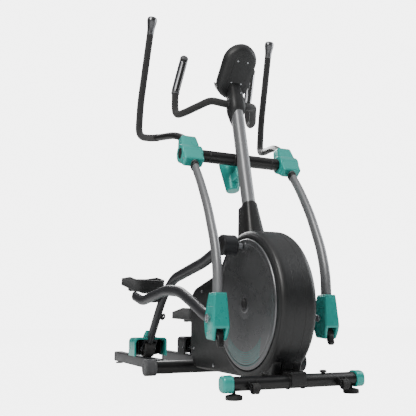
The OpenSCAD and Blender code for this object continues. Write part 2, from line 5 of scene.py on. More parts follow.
import bpy
import numpy as np
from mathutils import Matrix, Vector


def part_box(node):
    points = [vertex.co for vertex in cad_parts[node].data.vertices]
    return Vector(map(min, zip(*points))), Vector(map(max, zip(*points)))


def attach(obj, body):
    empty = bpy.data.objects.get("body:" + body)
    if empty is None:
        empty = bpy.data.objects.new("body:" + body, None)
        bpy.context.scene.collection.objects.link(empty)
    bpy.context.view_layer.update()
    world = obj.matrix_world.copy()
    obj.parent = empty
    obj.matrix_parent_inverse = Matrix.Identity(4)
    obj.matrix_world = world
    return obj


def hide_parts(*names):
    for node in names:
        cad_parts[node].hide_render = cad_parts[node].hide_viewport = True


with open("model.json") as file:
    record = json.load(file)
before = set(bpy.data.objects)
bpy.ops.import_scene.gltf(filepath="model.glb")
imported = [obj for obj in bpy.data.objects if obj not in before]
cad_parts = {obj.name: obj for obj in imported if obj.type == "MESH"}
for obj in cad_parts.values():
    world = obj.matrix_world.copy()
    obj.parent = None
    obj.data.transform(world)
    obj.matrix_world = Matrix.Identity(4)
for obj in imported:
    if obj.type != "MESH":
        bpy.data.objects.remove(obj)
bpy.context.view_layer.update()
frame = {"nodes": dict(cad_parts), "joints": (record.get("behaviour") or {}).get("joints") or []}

JOINTS = {j["name"]: j for j in frame["joints"]}
MM = 0.001


# ---------------------------------------------------------------- places taken from the frame

def joint_point(name):
    """The joint's point at rest, in millimetres."""
    return np.array(JOINTS[name]["pos_m"]) / MM


def node_box(name):
    """Lowest and highest corner of a node, in millimetres."""
    low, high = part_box(name)
    return np.array(low) / MM, np.array(high) / MM


CRANK = joint_point("crank")
SWING = joint_point("swing_arm_left")
YOKE = joint_point("foot_link_left")
ROLLER_RIGHT = joint_point("roller_right")
ROLLER_LEFT = joint_point("roller_left")
ARM_X = ROLLER_LEFT[0]
LEAN = math.radians(13.2)
CRANK_R = 223.0
PIN_UP = CRANK + [0, 0, CRANK_R]
PIN_DOWN = CRANK - [0, 0, CRANK_R]
KNEE = np.array([ARM_X, 102.0, 362.0])
SWING_X, BRACKET_X = 234.0, 235.0  # planes of the swing tube and of the bracket, left of the middle
CONSOLE = np.array([0.0, -438.0, 1371.0])
CONSOLE_TILT = math.radians(46)


def turned(v, angle):
    """Points turned about the X axis through the origin."""
    c, s = math.cos(angle), math.sin(angle)
    return np.asarray(v, float) @ np.array([[1, 0, 0], [0, c, s], [0, -s, c]])


def angle_of(v):
    """The angle of a point about the X axis, from +Y towards +Z."""
    return math.atan2(v[2], v[1])


ARM_TURN = angle_of(ROLLER_LEFT - PIN_DOWN) - angle_of(ROLLER_RIGHT - PIN_UP)
KNEE_LEFT = PIN_DOWN + turned(KNEE - PIN_UP, ARM_TURN)
LINK_TURN = angle_of(KNEE_LEFT - YOKE) - angle_of(KNEE - YOKE)


# ---------------------------------------------------------------- surfaces

def unit(v):
    """Vectors scaled to length 1."""
    v = np.asarray(v, float)
    return v / np.maximum(np.linalg.norm(v, axis=-1, keepdims=True), 1e-12)


def smooth_path(points, cut, steps=10):
    """A polyline whose corners are parabolas (1-s)^2 p + 2s(1-s) b + s^2 q that start cut before each corner b."""
    pts = np.asarray(points, float)
    s = np.linspace(0, 1, steps)[:, None]
    out = [pts[:1]]
    for a, b, c in zip(pts[:-2], pts[1:-1], pts[2:]):
        p, q = b + unit(a - b) * cut, b + unit(c - b) * cut
        out.append((1 - s) ** 2 * p + 2 * s * (1 - s) * b + s ** 2 * q)
    out.append(pts[-1:])
    return np.concatenate(out)


def dense(path, step):
    """The same path with points at most step apart, spaced by its running length."""
    gaps = np.linalg.norm(np.diff(path, axis=0), axis=1)
    run = np.concatenate([[0], np.cumsum(gaps)])
    at = np.linspace(0, run[-1], max(2, int(run[-1] / step) + 1))
    return np.stack([np.interp(at, run, path[:, k]) for k in range(3)], axis=1)


def frames_along(path, start):
    """Tangents, and side directions carried along the path without twist, starting near start."""
    way = unit(np.gradient(path, axis=0))
    side, sides = np.asarray(start, float), []
    for t in way:
        side = unit(side - t * (side @ t))
        sides.append(side)
    return way, np.array(sides)


def ring(a, b, power=2.0, count=40):
    """Superellipse |x/a|^p + |y/b|^p = 1 as a closed loop, from its angle."""
    w = np.arange(count) * 2 * math.pi / count
    c, s = np.cos(w), np.sin(w)
    return np.stack([a * np.sign(c) * np.abs(c) ** (2 / power), b * np.sign(s) * np.abs(s) ** (2 / power)], axis=1)


def skin(rows):
    """Quads between successive closed loops rows[k, m, 3], with a flat face on each end, turned outwards."""
    rows = np.asarray(rows, float)
    n, m = rows.shape[:2]
    i, k = np.meshgrid(np.arange(n - 1), np.arange(m), indexing="ij")
    j = (k + 1) % m
    quads = np.stack([i * m + k, i * m + j, (i + 1) * m + j, (i + 1) * m + k], axis=-1).reshape(-1, 4)
    faces = quads.tolist() + [list(range(m))[::-1], list(range((n - 1) * m, n * m))]
    return outward(rows.reshape(-1, 3), faces)


def ring_skin(rows):
    """Quads on a grid that closes both ways, such as a ring with a closed section."""
    rows = np.asarray(rows, float)
    n, m = rows.shape[:2]
    i, k = np.meshgrid(np.arange(n), np.arange(m), indexing="ij")
    i2, j = (i + 1) % n, (k + 1) % m
    quads = np.stack([i * m + k, i * m + j, i2 * m + j, i2 * m + k], axis=-1).reshape(-1, 4)
    return outward(rows.reshape(-1, 3), quads.tolist())


def outward(points, faces):
    """Reverses the faces if the closed surface's signed volume is negative."""
    tri = np.array([(f[0], f[h], f[h + 1]) for f in faces for h in range(1, len(f) - 1)])
    a, b, c = points[tri[:, 0]], points[tri[:, 1]], points[tri[:, 2]]
    if np.einsum("ij,ij->", a, np.cross(b, c)) < 0:
        faces = [f[::-1] for f in faces]
    return points, faces


def tube(path, section, start=(1, 0, 0), round_end=2.0, grow=None):
    """A closed section swept along a path. Each end shrinks by a quarter circle of radius round_end."""
    path = np.asarray(path, float)
    half = np.abs(section).max()
    e = round_end
    d = e * (1 - np.cos(np.linspace(0, math.pi / 2, 5)))[:, None]
    head = path[:1] + unit(path[1] - path[0]) * d
    tail = path[-1:] + unit(path[-2] - path[-1]) * d[::-1]
    inner = path[1:-1]
    full = np.concatenate([head, inner, tail])
    shrink = (e - np.sqrt(np.maximum(e ** 2 - (e - d[:, 0]) ** 2, 0))) / half
    scale = np.concatenate([1 - shrink, np.ones(len(inner)), 1 - shrink[::-1]])
    if grow is not None:
        scale = scale * grow(np.linspace(0, 1, len(full)))
    way, side = frames_along(full, start)
    up = np.cross(way, side)
    rows = full[:, None] + scale[:, None, None] * (
        side[:, None] * section[None, :, :1] + up[:, None] * section[None, :, 1:])
    return skin(rows)


def soften(profile, radius, steps=4):
    """A profile of (radius, height) points whose corners are rounded by parabolas. A point beside each rounding
    keeps a long straight stretch flat in the shading."""
    pts = np.asarray(profile, float)
    s = np.linspace(0, 1, steps + 1)[:, None]
    out = [pts[:1]]
    for a, b, c in zip(pts[:-2], pts[1:-1], pts[2:]):
        r = min(radius, np.linalg.norm(a - b) * 0.45, np.linalg.norm(c - b) * 0.45)
        p, q = b + unit(a - b) * r, b + unit(c - b) * r
        curve = (1 - s) ** 2 * p + 2 * s * (1 - s) * b + s ** 2 * q
        before, after = [[[b + unit(v - b) * (r * 1.12 + 0.2)]] if np.linalg.norm(v - b) > 4 * r + 2 else []
                         for v in (a, c)]
        out += [*before, curve, *after]
    out.append(pts[-1:])
    return np.concatenate(out)


AXES = {"x": np.array([[0, 0, 1], [0, 1, 0], [1, 0, 0]], float), "z": np.eye(3),
        "y": np.array([[1, 0, 0], [0, 0, 1], [0, 1, 0]], float)}


def lathe(profile, centre, axis="x", count=64, radius=1.0, wave=None):
    """The profile (r, h) turned about an axis: point = centre + r cos w, r sin w, h in that axis' frame."""
    pts = soften(profile, radius)
    w = np.arange(count) * 2 * math.pi / count
    r = np.maximum(pts[:, :1], 0.01) * (1 if wave is None else wave(w)[None])
    h = np.repeat(pts[:, 1:], count, axis=1)
    local = np.stack([r * np.cos(w), r * np.sin(w), h], axis=-1)
    return skin(local @ AXES[axis] + np.asarray(centre, float))


def hoop(profile, centre, axis="x", count=96, radius=1.0):
    """A closed profile (r, h) turned about an axis into a ring."""
    closed = list(profile) + [profile[0]]
    mid = (np.array(closed[0], float) + np.array(closed[-2], float)) / 2
    pts = soften([mid] + list(map(tuple, profile)) + [mid], radius)[:-1]
    w = np.arange(count) * 2 * math.pi / count
    local = np.stack([pts[:, :1] * np.cos(w), pts[:, :1] * np.sin(w),
                      np.repeat(pts[:, 1:], count, axis=1)], axis=-1)
    return ring_skin(local @ AXES[axis] + np.asarray(centre, float))


def corner_loop(points, cut, steps=6):
    """A closed outline of (u, v) corner points, each rounded by a parabola."""
    pts = np.asarray(points, float)
    s = np.linspace(0, 1, steps)[:, None]
    out = []
    for a, b, c in zip(np.roll(pts, 1, 0), pts, np.roll(pts, -1, 0)):
        r = min(cut, np.linalg.norm(a - b) * 0.48, np.linalg.norm(c - b) * 0.48)
        p, q = b + unit(a - b) * r, b + unit(c - b) * r
        out.append((1 - s) ** 2 * p + 2 * s * (1 - s) * b + s ** 2 * q)
    return np.concatenate(out)


def inset(loop, depth):
    """The loop moved inwards along its own normals."""
    way = unit(np.roll(loop, -1, 0) - np.roll(loop, 1, 0))
    normal = np.stack([way[:, 1], -way[:, 0]], axis=1)
    x, y = loop[:, 0], loop[:, 1]
    if np.sum(x * np.roll(y, -1) - y * np.roll(x, -1)) < 0:
        normal = -normal
    return loop - normal * depth


def slab(loop, low, high, edge=2.0, steps=5, axis="x"):
    """An outline given thickness from low to high, with quarter-round edges. The outline lies in (y, z),
    (x, z) or (x, y), for the axis x, y or z."""
    w = np.linspace(0, math.pi / 2, steps)
    depth, rise = edge * (1 - np.sin(w)), edge * (1 - np.cos(w))
    levels = np.concatenate([low + rise, (high - rise)[::-1]])
    insets = np.concatenate([depth, depth[::-1]])
    if high - low > 2.4 * edge + 2:
        brink = min(edge * 0.15, 1.0) + 0.2
        levels = np.insert(levels, steps, [low + edge + brink, high - edge - brink])
        insets = np.insert(insets, steps, [0.0, 0.0])
    rows = []
    for level, d in zip(levels, insets):
        flat = inset(loop, d)
        h = np.full(len(loop), level)
        cols = {"x": (h, flat[:, 0], flat[:, 1]), "y": (flat[:, 0], h, flat[:, 1]), "z": (flat[:, 0], flat[:, 1], h)}
        rows.append(np.stack(cols[axis], axis=1))
    return skin(rows)


def round_box(low, high, edge=2.0, corner=4.0, axis="z"):
    """A box with round corners seen along one axis, and quarter-round edges."""
    low, high = np.asarray(low, float), np.asarray(high, float)
    u, v = {"x": (1, 2), "y": (0, 2), "z": (0, 1)}[axis]
    k = {"x": 0, "y": 1, "z": 2}[axis]
    loop = corner_loop([[low[u], low[v]], [high[u], low[v]], [high[u], high[v]], [low[u], high[v]]], corner)
    return slab(loop, low[k], high[k], edge, axis=axis)


def moved(part, shift):
    """A part shifted by a vector."""
    return part[0] + np.asarray(shift, float), part[1]


def mirrored(part):
    """A part seen in the mirror x = 0, with its faces still turned outwards."""
    return part[0] * [-1, 1, 1], [f[::-1] for f in part[1]]


def mapped(part, shape):
    """A part whose points go through a function."""
    return shape(part[0]), part[1]


def piece(name, parts, body, slot, finish, stands_for=(), sharp=38):
    """One Blender object from closed surfaces, riding on a body."""
    points, faces, base = [], [], 0
    for p, f in parts:
        points.append(p)
        faces += [[v + base for v in face] for face in f]
        base += len(p)
    mesh = bpy.data.meshes.new(name)
    mesh.from_pydata((np.concatenate(points) * MM).tolist(), [], faces)
    mesh.polygons.foreach_set("use_smooth", np.ones(len(mesh.polygons), bool))
    mesh.set_sharp_from_angle(angle=math.radians(sharp))
    mesh.materials.append(finish)
    obj = bpy.data.objects.new(name, mesh)
    bpy.context.scene.collection.objects.link(obj)
    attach(obj, body)
    if stands_for:
        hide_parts(*stands_for)
    return obj


def pair(name, parts, body, slot, finish, nodes=(), left=mirrored, **more):
    """The same piece on both sides. The parts are drawn on the left (+X) side; left turns a right-hand part."""
    for side in ("right", "left"):
        shown = [mirrored(p) for p in parts] if side == "right" else [left(mirrored(p)) for p in parts]
        use = finish if not isinstance(finish, dict) else finish[side]
        kind = slot if not isinstance(slot, dict) else slot[side]
        piece(f"{name}_{side}", shown, body.format(side), kind, use, [n.format(side) for n in nodes], **more)


def left_arm(part):
    """Mirrors a right-hand pedal-arm part and turns it from the upper crank pin to the lower one."""
    points = mirrored(part)[0]
    return turned(points - PIN_UP, ARM_TURN) + PIN_DOWN, mirrored(part)[1]


def left_link(part):
    """Mirrors a right-hand foot-link part and turns it about the lower swing pivot."""
    points, faces = mirrored(part)
    return turned(points - YOKE * [0, 1, 1], LINK_TURN) + YOKE * [0, 1, 1], faces


def both(*parts):
    """Each part and its mirror image."""
    return [q for p in parts for q in (p, mirrored(p))]


# ---------------------------------------------------------------- finishes

def srgb(r, g, b):
    """A colour given as 0-255 display values, as linear values for a shader."""
    return tuple((c / 255 / 12.92) if c < 10 else ((c / 255 + 0.055) / 1.055) ** 2.4 for c in (r, g, b))


class Value:
    """A socket in a shader tree that works in Python expressions."""

    def __init__(self, tree, socket):
        self.tree, self.socket = tree, socket

    def math(self, operation, *values):
        return self.tree.node("ShaderNodeMath", {"operation": operation}, dict(enumerate(values)))[0]

    def __add__(self, other):
        return self.math("ADD", self, other)

    def __sub__(self, other):
        return self.math("SUBTRACT", self, other)

    def __rsub__(self, other):
        return self.math("SUBTRACT", other, self)

    def __mul__(self, other):
        return self.math("MULTIPLY", self, other)

    def __abs__(self):
        return self.math("ABSOLUTE", self)

    def band(self, low, high, soft):
        """1 between low and high, falling to 0 over soft on each side."""
        up = self.tree.node("ShaderNodeMapRange", {"interpolation_type": "SMOOTHSTEP"}, {
            "Value": self, "From Min": low - soft, "From Max": low})[0]
        down = self.tree.node("ShaderNodeMapRange", {"interpolation_type": "SMOOTHSTEP"}, {
            "Value": self, "From Min": high, "From Max": high + soft})[0]
        return up * (1 - down)

    __radd__, __rmul__ = __add__, __mul__


class Tree:
    """A material's node tree with one method that adds any node."""

    def __init__(self, name, color, roughness, metallic=0.0, **fixed):
        self.material = bpy.data.materials.new(name)
        self.material.use_nodes = True
        self.nodes, self.links = self.material.node_tree.nodes, self.material.node_tree.links
        self.shader = self.nodes["Principled BSDF"]
        self.color = color
        self.set("Base Color", (*color, 1))
        self.set("Roughness", roughness)
        self.set("Metallic", metallic)
        for socket, value in fixed.items():
            self.set(socket.replace("_", " "), value)
        self.place = self.node("ShaderNodeTexCoord", {}, {})["Object"]

    def node(self, kind, settings, inputs):
        made = self.nodes.new(kind)
        for key, value in settings.items():
            setattr(made, key, value)
        for key, value in inputs.items():
            if isinstance(value, Value):
                self.links.new(value.socket, made.inputs[key])
            else:
                made.inputs[key].default_value = value
        return Outputs(self, made)

    def set(self, socket, value):
        if isinstance(value, Value):
            self.links.new(value.socket, self.shader.inputs[socket])
        else:
            self.shader.inputs[socket].default_value = value

    def noise(self, scale, detail=3.0, stretch=(1, 1, 1)):
        """Noise from 0 to 1 at a scale in waves per metre, stretched along the axes."""
        place = self.node("ShaderNodeMapping", {}, {"Vector": self.place, "Scale": stretch})["Vector"]
        return self.node("ShaderNodeTexNoise", {}, {"Vector": place, "Scale": scale, "Detail": detail})[0]

    def cells(self, scale):
        """Distance to the nearest of many scattered points, at a scale in cells per metre."""
        return self.node("ShaderNodeTexVoronoi", {}, {"Vector": self.place, "Scale": scale})["Distance"]

    def blend(self, share, first, second):
        """A colour from first to second by a share from 0 to 1."""
        a, b = [(*c, 1) if isinstance(c, tuple) and len(c) == 3 else c for c in (first, second)]
        return self.node("ShaderNodeMix", {"data_type": "RGBA"}, {0: share, 6: a, 7: b})[2]

    def bump(self, height, depth):
        """Raises the surface by height times depth, in metres."""
        normal = self.node("ShaderNodeBump", {}, {
            "Height": height, "Distance": depth, "Strength": 1.0})["Normal"]
        self.set("Normal", normal)

    def xyz(self):
        """Object coordinates in metres."""
        parts = self.node("ShaderNodeSeparateXYZ", {}, {0: self.place})
        return parts[0], parts[1], parts[2]


class Outputs:
    """A node's output sockets, by name or number."""

    def __init__(self, tree, made):
        self.tree, self.made = tree, made

    def __getitem__(self, key):
        return Value(self.tree, self.made.outputs[key])


def moulded(name, color, roughness, grain=1400.0, depth=0.00006, spread=0.18, **fixed):
    """Moulded plastic: a fine leathery grain, faint handling marks and a slightly uneven gloss."""
    t = Tree(name, color, roughness, **fixed)
    fine, marks, patches = t.cells(grain), t.noise(45, 5), t.noise(7, 2)
    darker = tuple(c * (1 - spread) for c in color)
    lighter = tuple(min(1, c * (1 + spread) + 0.004) for c in color)
    t.set("Base Color", t.blend(marks * 0.55 + patches * 0.45, darker, lighter))
    t.set("Roughness", marks * 0.14 + patches * 0.08 + (roughness - 0.11))
    t.bump(fine + marks * 0.6, depth)
    return t.material


def coated(name, color, roughness, metallic=0.0, flake=0.0, **fixed):
    """Powder coat or paint on a tube: orange peel, and metal flakes where flake is above 0."""
    t = Tree(name, color, roughness, metallic, **fixed)
    peel, drift = t.noise(520, 2), t.noise(9, 3)
    base = t.blend(drift, tuple(c * 0.88 for c in color), tuple(min(1, c * 1.1) for c in color))
    if flake:
        spark = t.cells(2600).band(0.0, 0.16, 0.12) * flake
        base = t.blend(spark, base, tuple(min(1, c * 1.9) for c in color))
    t.set("Base Color", base)
    t.set("Roughness", drift * 0.1 + peel * 0.08 + (roughness - 0.09))
    t.bump(peel, 0.00009)
    return t.material


def foam(name):
    """Closed-cell foam sleeve: small pores, a dull sheen, and painted shade that darkens the hollows between the lumps.
    """
    color = srgb(27, 27, 29)
    t = Tree(name, color, 0.85, Sheen_Weight=0.15, Sheen_Roughness=0.6)
    pores, lumps = t.cells(1100), t.noise(160, 4)
    # The colour darkens where the lumps dip: painted shade in the hollows.
    t.set("Base Color", t.blend(lumps, srgb(7, 7, 8), srgb(20, 20, 22)))
    t.set("Roughness", lumps * 0.15 + 0.72)
    t.bump(pores * 0.7 + lumps * 0.6, 0.00045)
    return t.material


def rubber(name, color):
    """Moulded rubber: dull, slightly dusty in patches."""
    t = Tree(name, color, 0.72)
    dust, fine = t.noise(60, 5), t.noise(700, 2)
    t.set("Base Color", t.blend(dust.band(0.55, 1.0, 0.2) * 0.5, color, srgb(48, 47, 46)))
    t.set("Roughness", dust * 0.2 + 0.6)
    t.bump(fine, 0.00012)
    return t.material


def chrome(name):
    """Polished chrome with faint wiping marks."""
    t = Tree(name, srgb(226, 227, 230), 0.07, 1.0)
    wipe = t.noise(30, 4, (1, 1, 0.25))
    t.set("Roughness", wipe * 0.1 + 0.03)
    t.set("Base Color", t.blend(wipe, srgb(214, 216, 220), srgb(238, 239, 241)))
    return t.material


def machined(name):
    """Bare machined steel with turning marks round its axis."""
    t = Tree(name, srgb(168, 170, 173), 0.34, 1.0)
    marks = t.noise(900, 2, (1, 0.06, 0.06))
    t.set("Roughness", marks * 0.25 + 0.22)
    t.set("Base Color", t.blend(marks, srgb(140, 142, 146), srgb(186, 188, 191)))
    t.bump(marks, 0.00004)
    return t.material


# radius in metres, and the first and last angle round the crank axis, of each thin arc on the disc: teal arcs low down
# that are a painted reflection
PAINTED_REFLECTION_ARCS = [(0.184 + 0.0082 * k, -2.36 + 0.05 * k, -0.78 - 0.03 * k) for k in range(7)]


def disc_paint(name):
    """Metallic paint on the crank disc: fine rings round the axis, flakes, a painted highlight that lightens it towards
    the rim, and thin teal arcs low down that are a painted reflection.
    """
    t = Tree(name, srgb(120, 122, 124), 0.36, 0.85, Coat_Weight=0.25, Coat_Roughness=0.18)
    _, y, z = t.xyz()
    dy, dz = y - float(CRANK[1] * MM), z - float(CRANK[2] * MM)
    radius = t.node("ShaderNodeMath", {"operation": "SQRT"}, {0: dy * dy + dz * dz})[0]
    angle = t.node("ShaderNodeMath", {"operation": "ARCTAN2"}, {0: dz, 1: dy})[0]
    line = radius * 900.0
    rings = t.node("ShaderNodeMath", {"operation": "SINE"}, {0: line * 2.0})[0]
    flakes = t.cells(2200).band(0.0, 0.14, 0.12)
    # The paint gets lighter towards the rim: a painted highlight, with real flakes and random tone on top.
    shade = radius * 1.6 + flakes * 0.22 + t.noise(12, 3) * 0.2
    paint = t.blend(shade, srgb(96, 97, 99), srgb(128, 129, 131))
    # Thin teal arcs low on the disc: a painted reflection, not a print.
    arcs = None
    for r, first, last in PAINTED_REFLECTION_ARCS:
        one = radius.band(r, r + 0.0016, 0.0005) * angle.band(first, last, 0.05)
        arcs = one if arcs is None else t.node("ShaderNodeMath", {"operation": "MAXIMUM"}, {0: arcs, 1: one})[0]
    t.set("Base Color", t.blend(arcs * 0.85, paint, srgb(58, 150, 146)))
    t.set("Roughness", rings * 0.05 + t.noise(30, 4) * 0.12 + 0.27)
    t.bump(rings + flakes, 0.00003)
    return t.material


def display(name):
    """Dark window with a lit field of plain level bars and two lit side lines."""
    t = Tree(name, srgb(12, 16, 18), 0.12, Coat_Weight=0.6, Coat_Roughness=0.05)
    x, y, z = t.xyz()
    up = (z - float(CONSOLE[2] * MM)) * math.sin(CONSOLE_TILT) - (y - float(CONSOLE[1] * MM)) * math.cos(
        CONSOLE_TILT)
    bars = None
    for k in range(9):
        centre = -0.044 + 0.011 * k
        height = 0.012 + 0.0035 * ((k * 5) % 7)
        one = x.band(centre - 0.0035, centre + 0.0035, 0.0006) * up.band(-0.002, height, 0.0006)
        bars = one if bars is None else bars + one
    frame_line = abs(x).band(0.054, 0.0552, 0.0004) * up.band(-0.010, 0.056, 0.0005)
    lit = bars + frame_line
    t.set("Base Color", t.blend(lit, srgb(14, 20, 23), srgb(150, 205, 205)))
    t.set("Emission Color", t.blend(lit, (0.0, 0.0, 0.0), srgb(120, 205, 205)))
    t.shader.inputs["Emission Strength"].default_value = 0.6
    return t.material


TEAL = moulded("teal_plastic", srgb(38, 160, 150), 0.3, depth=0.00002, spread=0.05, Metallic=0.2, Coat_Weight=0.35,
               Coat_Roughness=0.12)
CHARCOAL = moulded("charcoal_plastic", srgb(22, 23, 24), 0.5)
HOUSING = moulded("housing_plastic", srgb(23, 24, 25), 0.4, grain=1100)
BLACK = moulded("black_plastic", srgb(15, 15, 16), 0.4)
GREY = moulded("grey_plastic", srgb(120, 122, 124), 0.4, spread=0.06)
CAP_GREY = moulded("cap_plastic", srgb(74, 75, 77), 0.5, spread=0.08)
TUBE = coated("black_coat", srgb(17, 17, 18), 0.34)
ARM_COAT = coated("charcoal_coat", srgb(44, 45, 48), 0.38, metallic=0.3, flake=0.25)
SILVER = coated("silver_paint", srgb(128, 129, 131), 0.42, metallic=0.55, flake=0.3, Coat_Weight=0.15,
                Coat_Roughness=0.12)
DARK_SILVER = coated("dark_silver_paint", srgb(108, 109, 111), 0.26, metallic=0.9, flake=0.2, Coat_Weight=0.3,
                     Coat_Roughness=0.1)
FOAM = foam("foam_sleeve")
RUBBER = rubber("moulded_rubber", srgb(19, 19, 20))
CHROME = chrome("chrome")
STEEL = machined("machined_steel")
DISC = disc_paint("disc_paint")
DISPLAY = display("display_window")


# ---------------------------------------------------------------- local frames

def on_mast(points):
    """From the mast's own frame, with z along the leaning mast from the crank axis, to the row frame."""
    return turned(points, -LEAN) + CRANK


def on_console(points):
    """From the console's own frame, with z out of its face and y up it, to the row frame."""
    return turned(points, CONSOLE_TILT) * [-1, -1, 1] + CONSOLE


def in_plane(x, pairs):
    """Points with the given x from (y, z) pairs."""
    return np.array([[x, y, z] for y, z in pairs], float)


def aimed(part, at, way):
    """A part drawn along +z from the origin, put at a point and turned to a direction."""
    z = unit(way)
    x = unit(np.cross([0, 1, 0], z))
    return part[0] @ np.array([x, np.cross(z, x), z]) + at, part[1]


def screw(centre, axis="x", r=6.0, height=3.0):
    """A button-head screw with a round socket. A negative height turns it the other way."""
    h = height
    return lathe([(0.01, 0), (r, 0), (r * 0.92, h * 0.55), (r * 0.6, h), (r * 0.42, h), (r * 0.4, h * 0.35),
                  (0.01, h * 0.35)], centre, axis, 24, 0.4)


def reach(centre, angle, circles, polygons, floor):
    """How far a ray at each angle runs from the centre before it leaves the union of circles and convex
    polygons: the largest exit distance, cut off where the ray meets the floor height."""
    d = np.stack([np.cos(angle), np.sin(angle)], axis=1)
    far = np.zeros(len(angle))
    for c, r in circles:
        away = np.asarray(centre, float) - c
        b = d @ away
        inside = b ** 2 - (away @ away - r ** 2)
        far = np.maximum(far, np.where(inside > 0, -b + np.sqrt(np.maximum(inside, 0)), 0))
    for corners in polygons:
        v = np.asarray(corners, float)
        edge = np.roll(v, -1, 0) - v
        n = unit(np.stack([edge[:, 1], -edge[:, 0]], axis=1))
        if n[0] @ (v.mean(0) - v[0]) > 0:
            n = -n
        gap, rate = np.sum(n * (v - centre), axis=1), d @ n.T
        if (gap > 0).all():
            far = np.maximum(far, np.where(rate > 1e-9, gap / np.maximum(rate, 1e-9), 1e9).min(1))
    low = np.where(d[:, 1] < -1e-6, (floor - centre[1]) / np.minimum(d[:, 1], -1e-6), 1e9)
    return np.minimum(far, low)


def outline_round(centre, circles, polygons, floor=-1e9, count=220, blur=2):
    """A closed (u, v) outline from reach(), with its corners softened by a short running mean."""
    angle = np.arange(count) * 2 * math.pi / count
    far = reach(centre, angle, circles, polygons, floor)
    for _ in range(blur):
        far = (np.roll(far, 1) + 2 * far + np.roll(far, -1)) / 4
    return np.stack([np.cos(angle), np.sin(angle)], axis=1) * far[:, None] + centre


# ---------------------------------------------------------------- floor frame

STAB = np.array([0.0, -870.0, 51.0])
CAP_HIGH = node_box("front_end_caps")[1]
MID_LOW, MID_HIGH = node_box("mid_end_caps")
RAIL_LOW, RAIL_HIGH = node_box("rail_left")


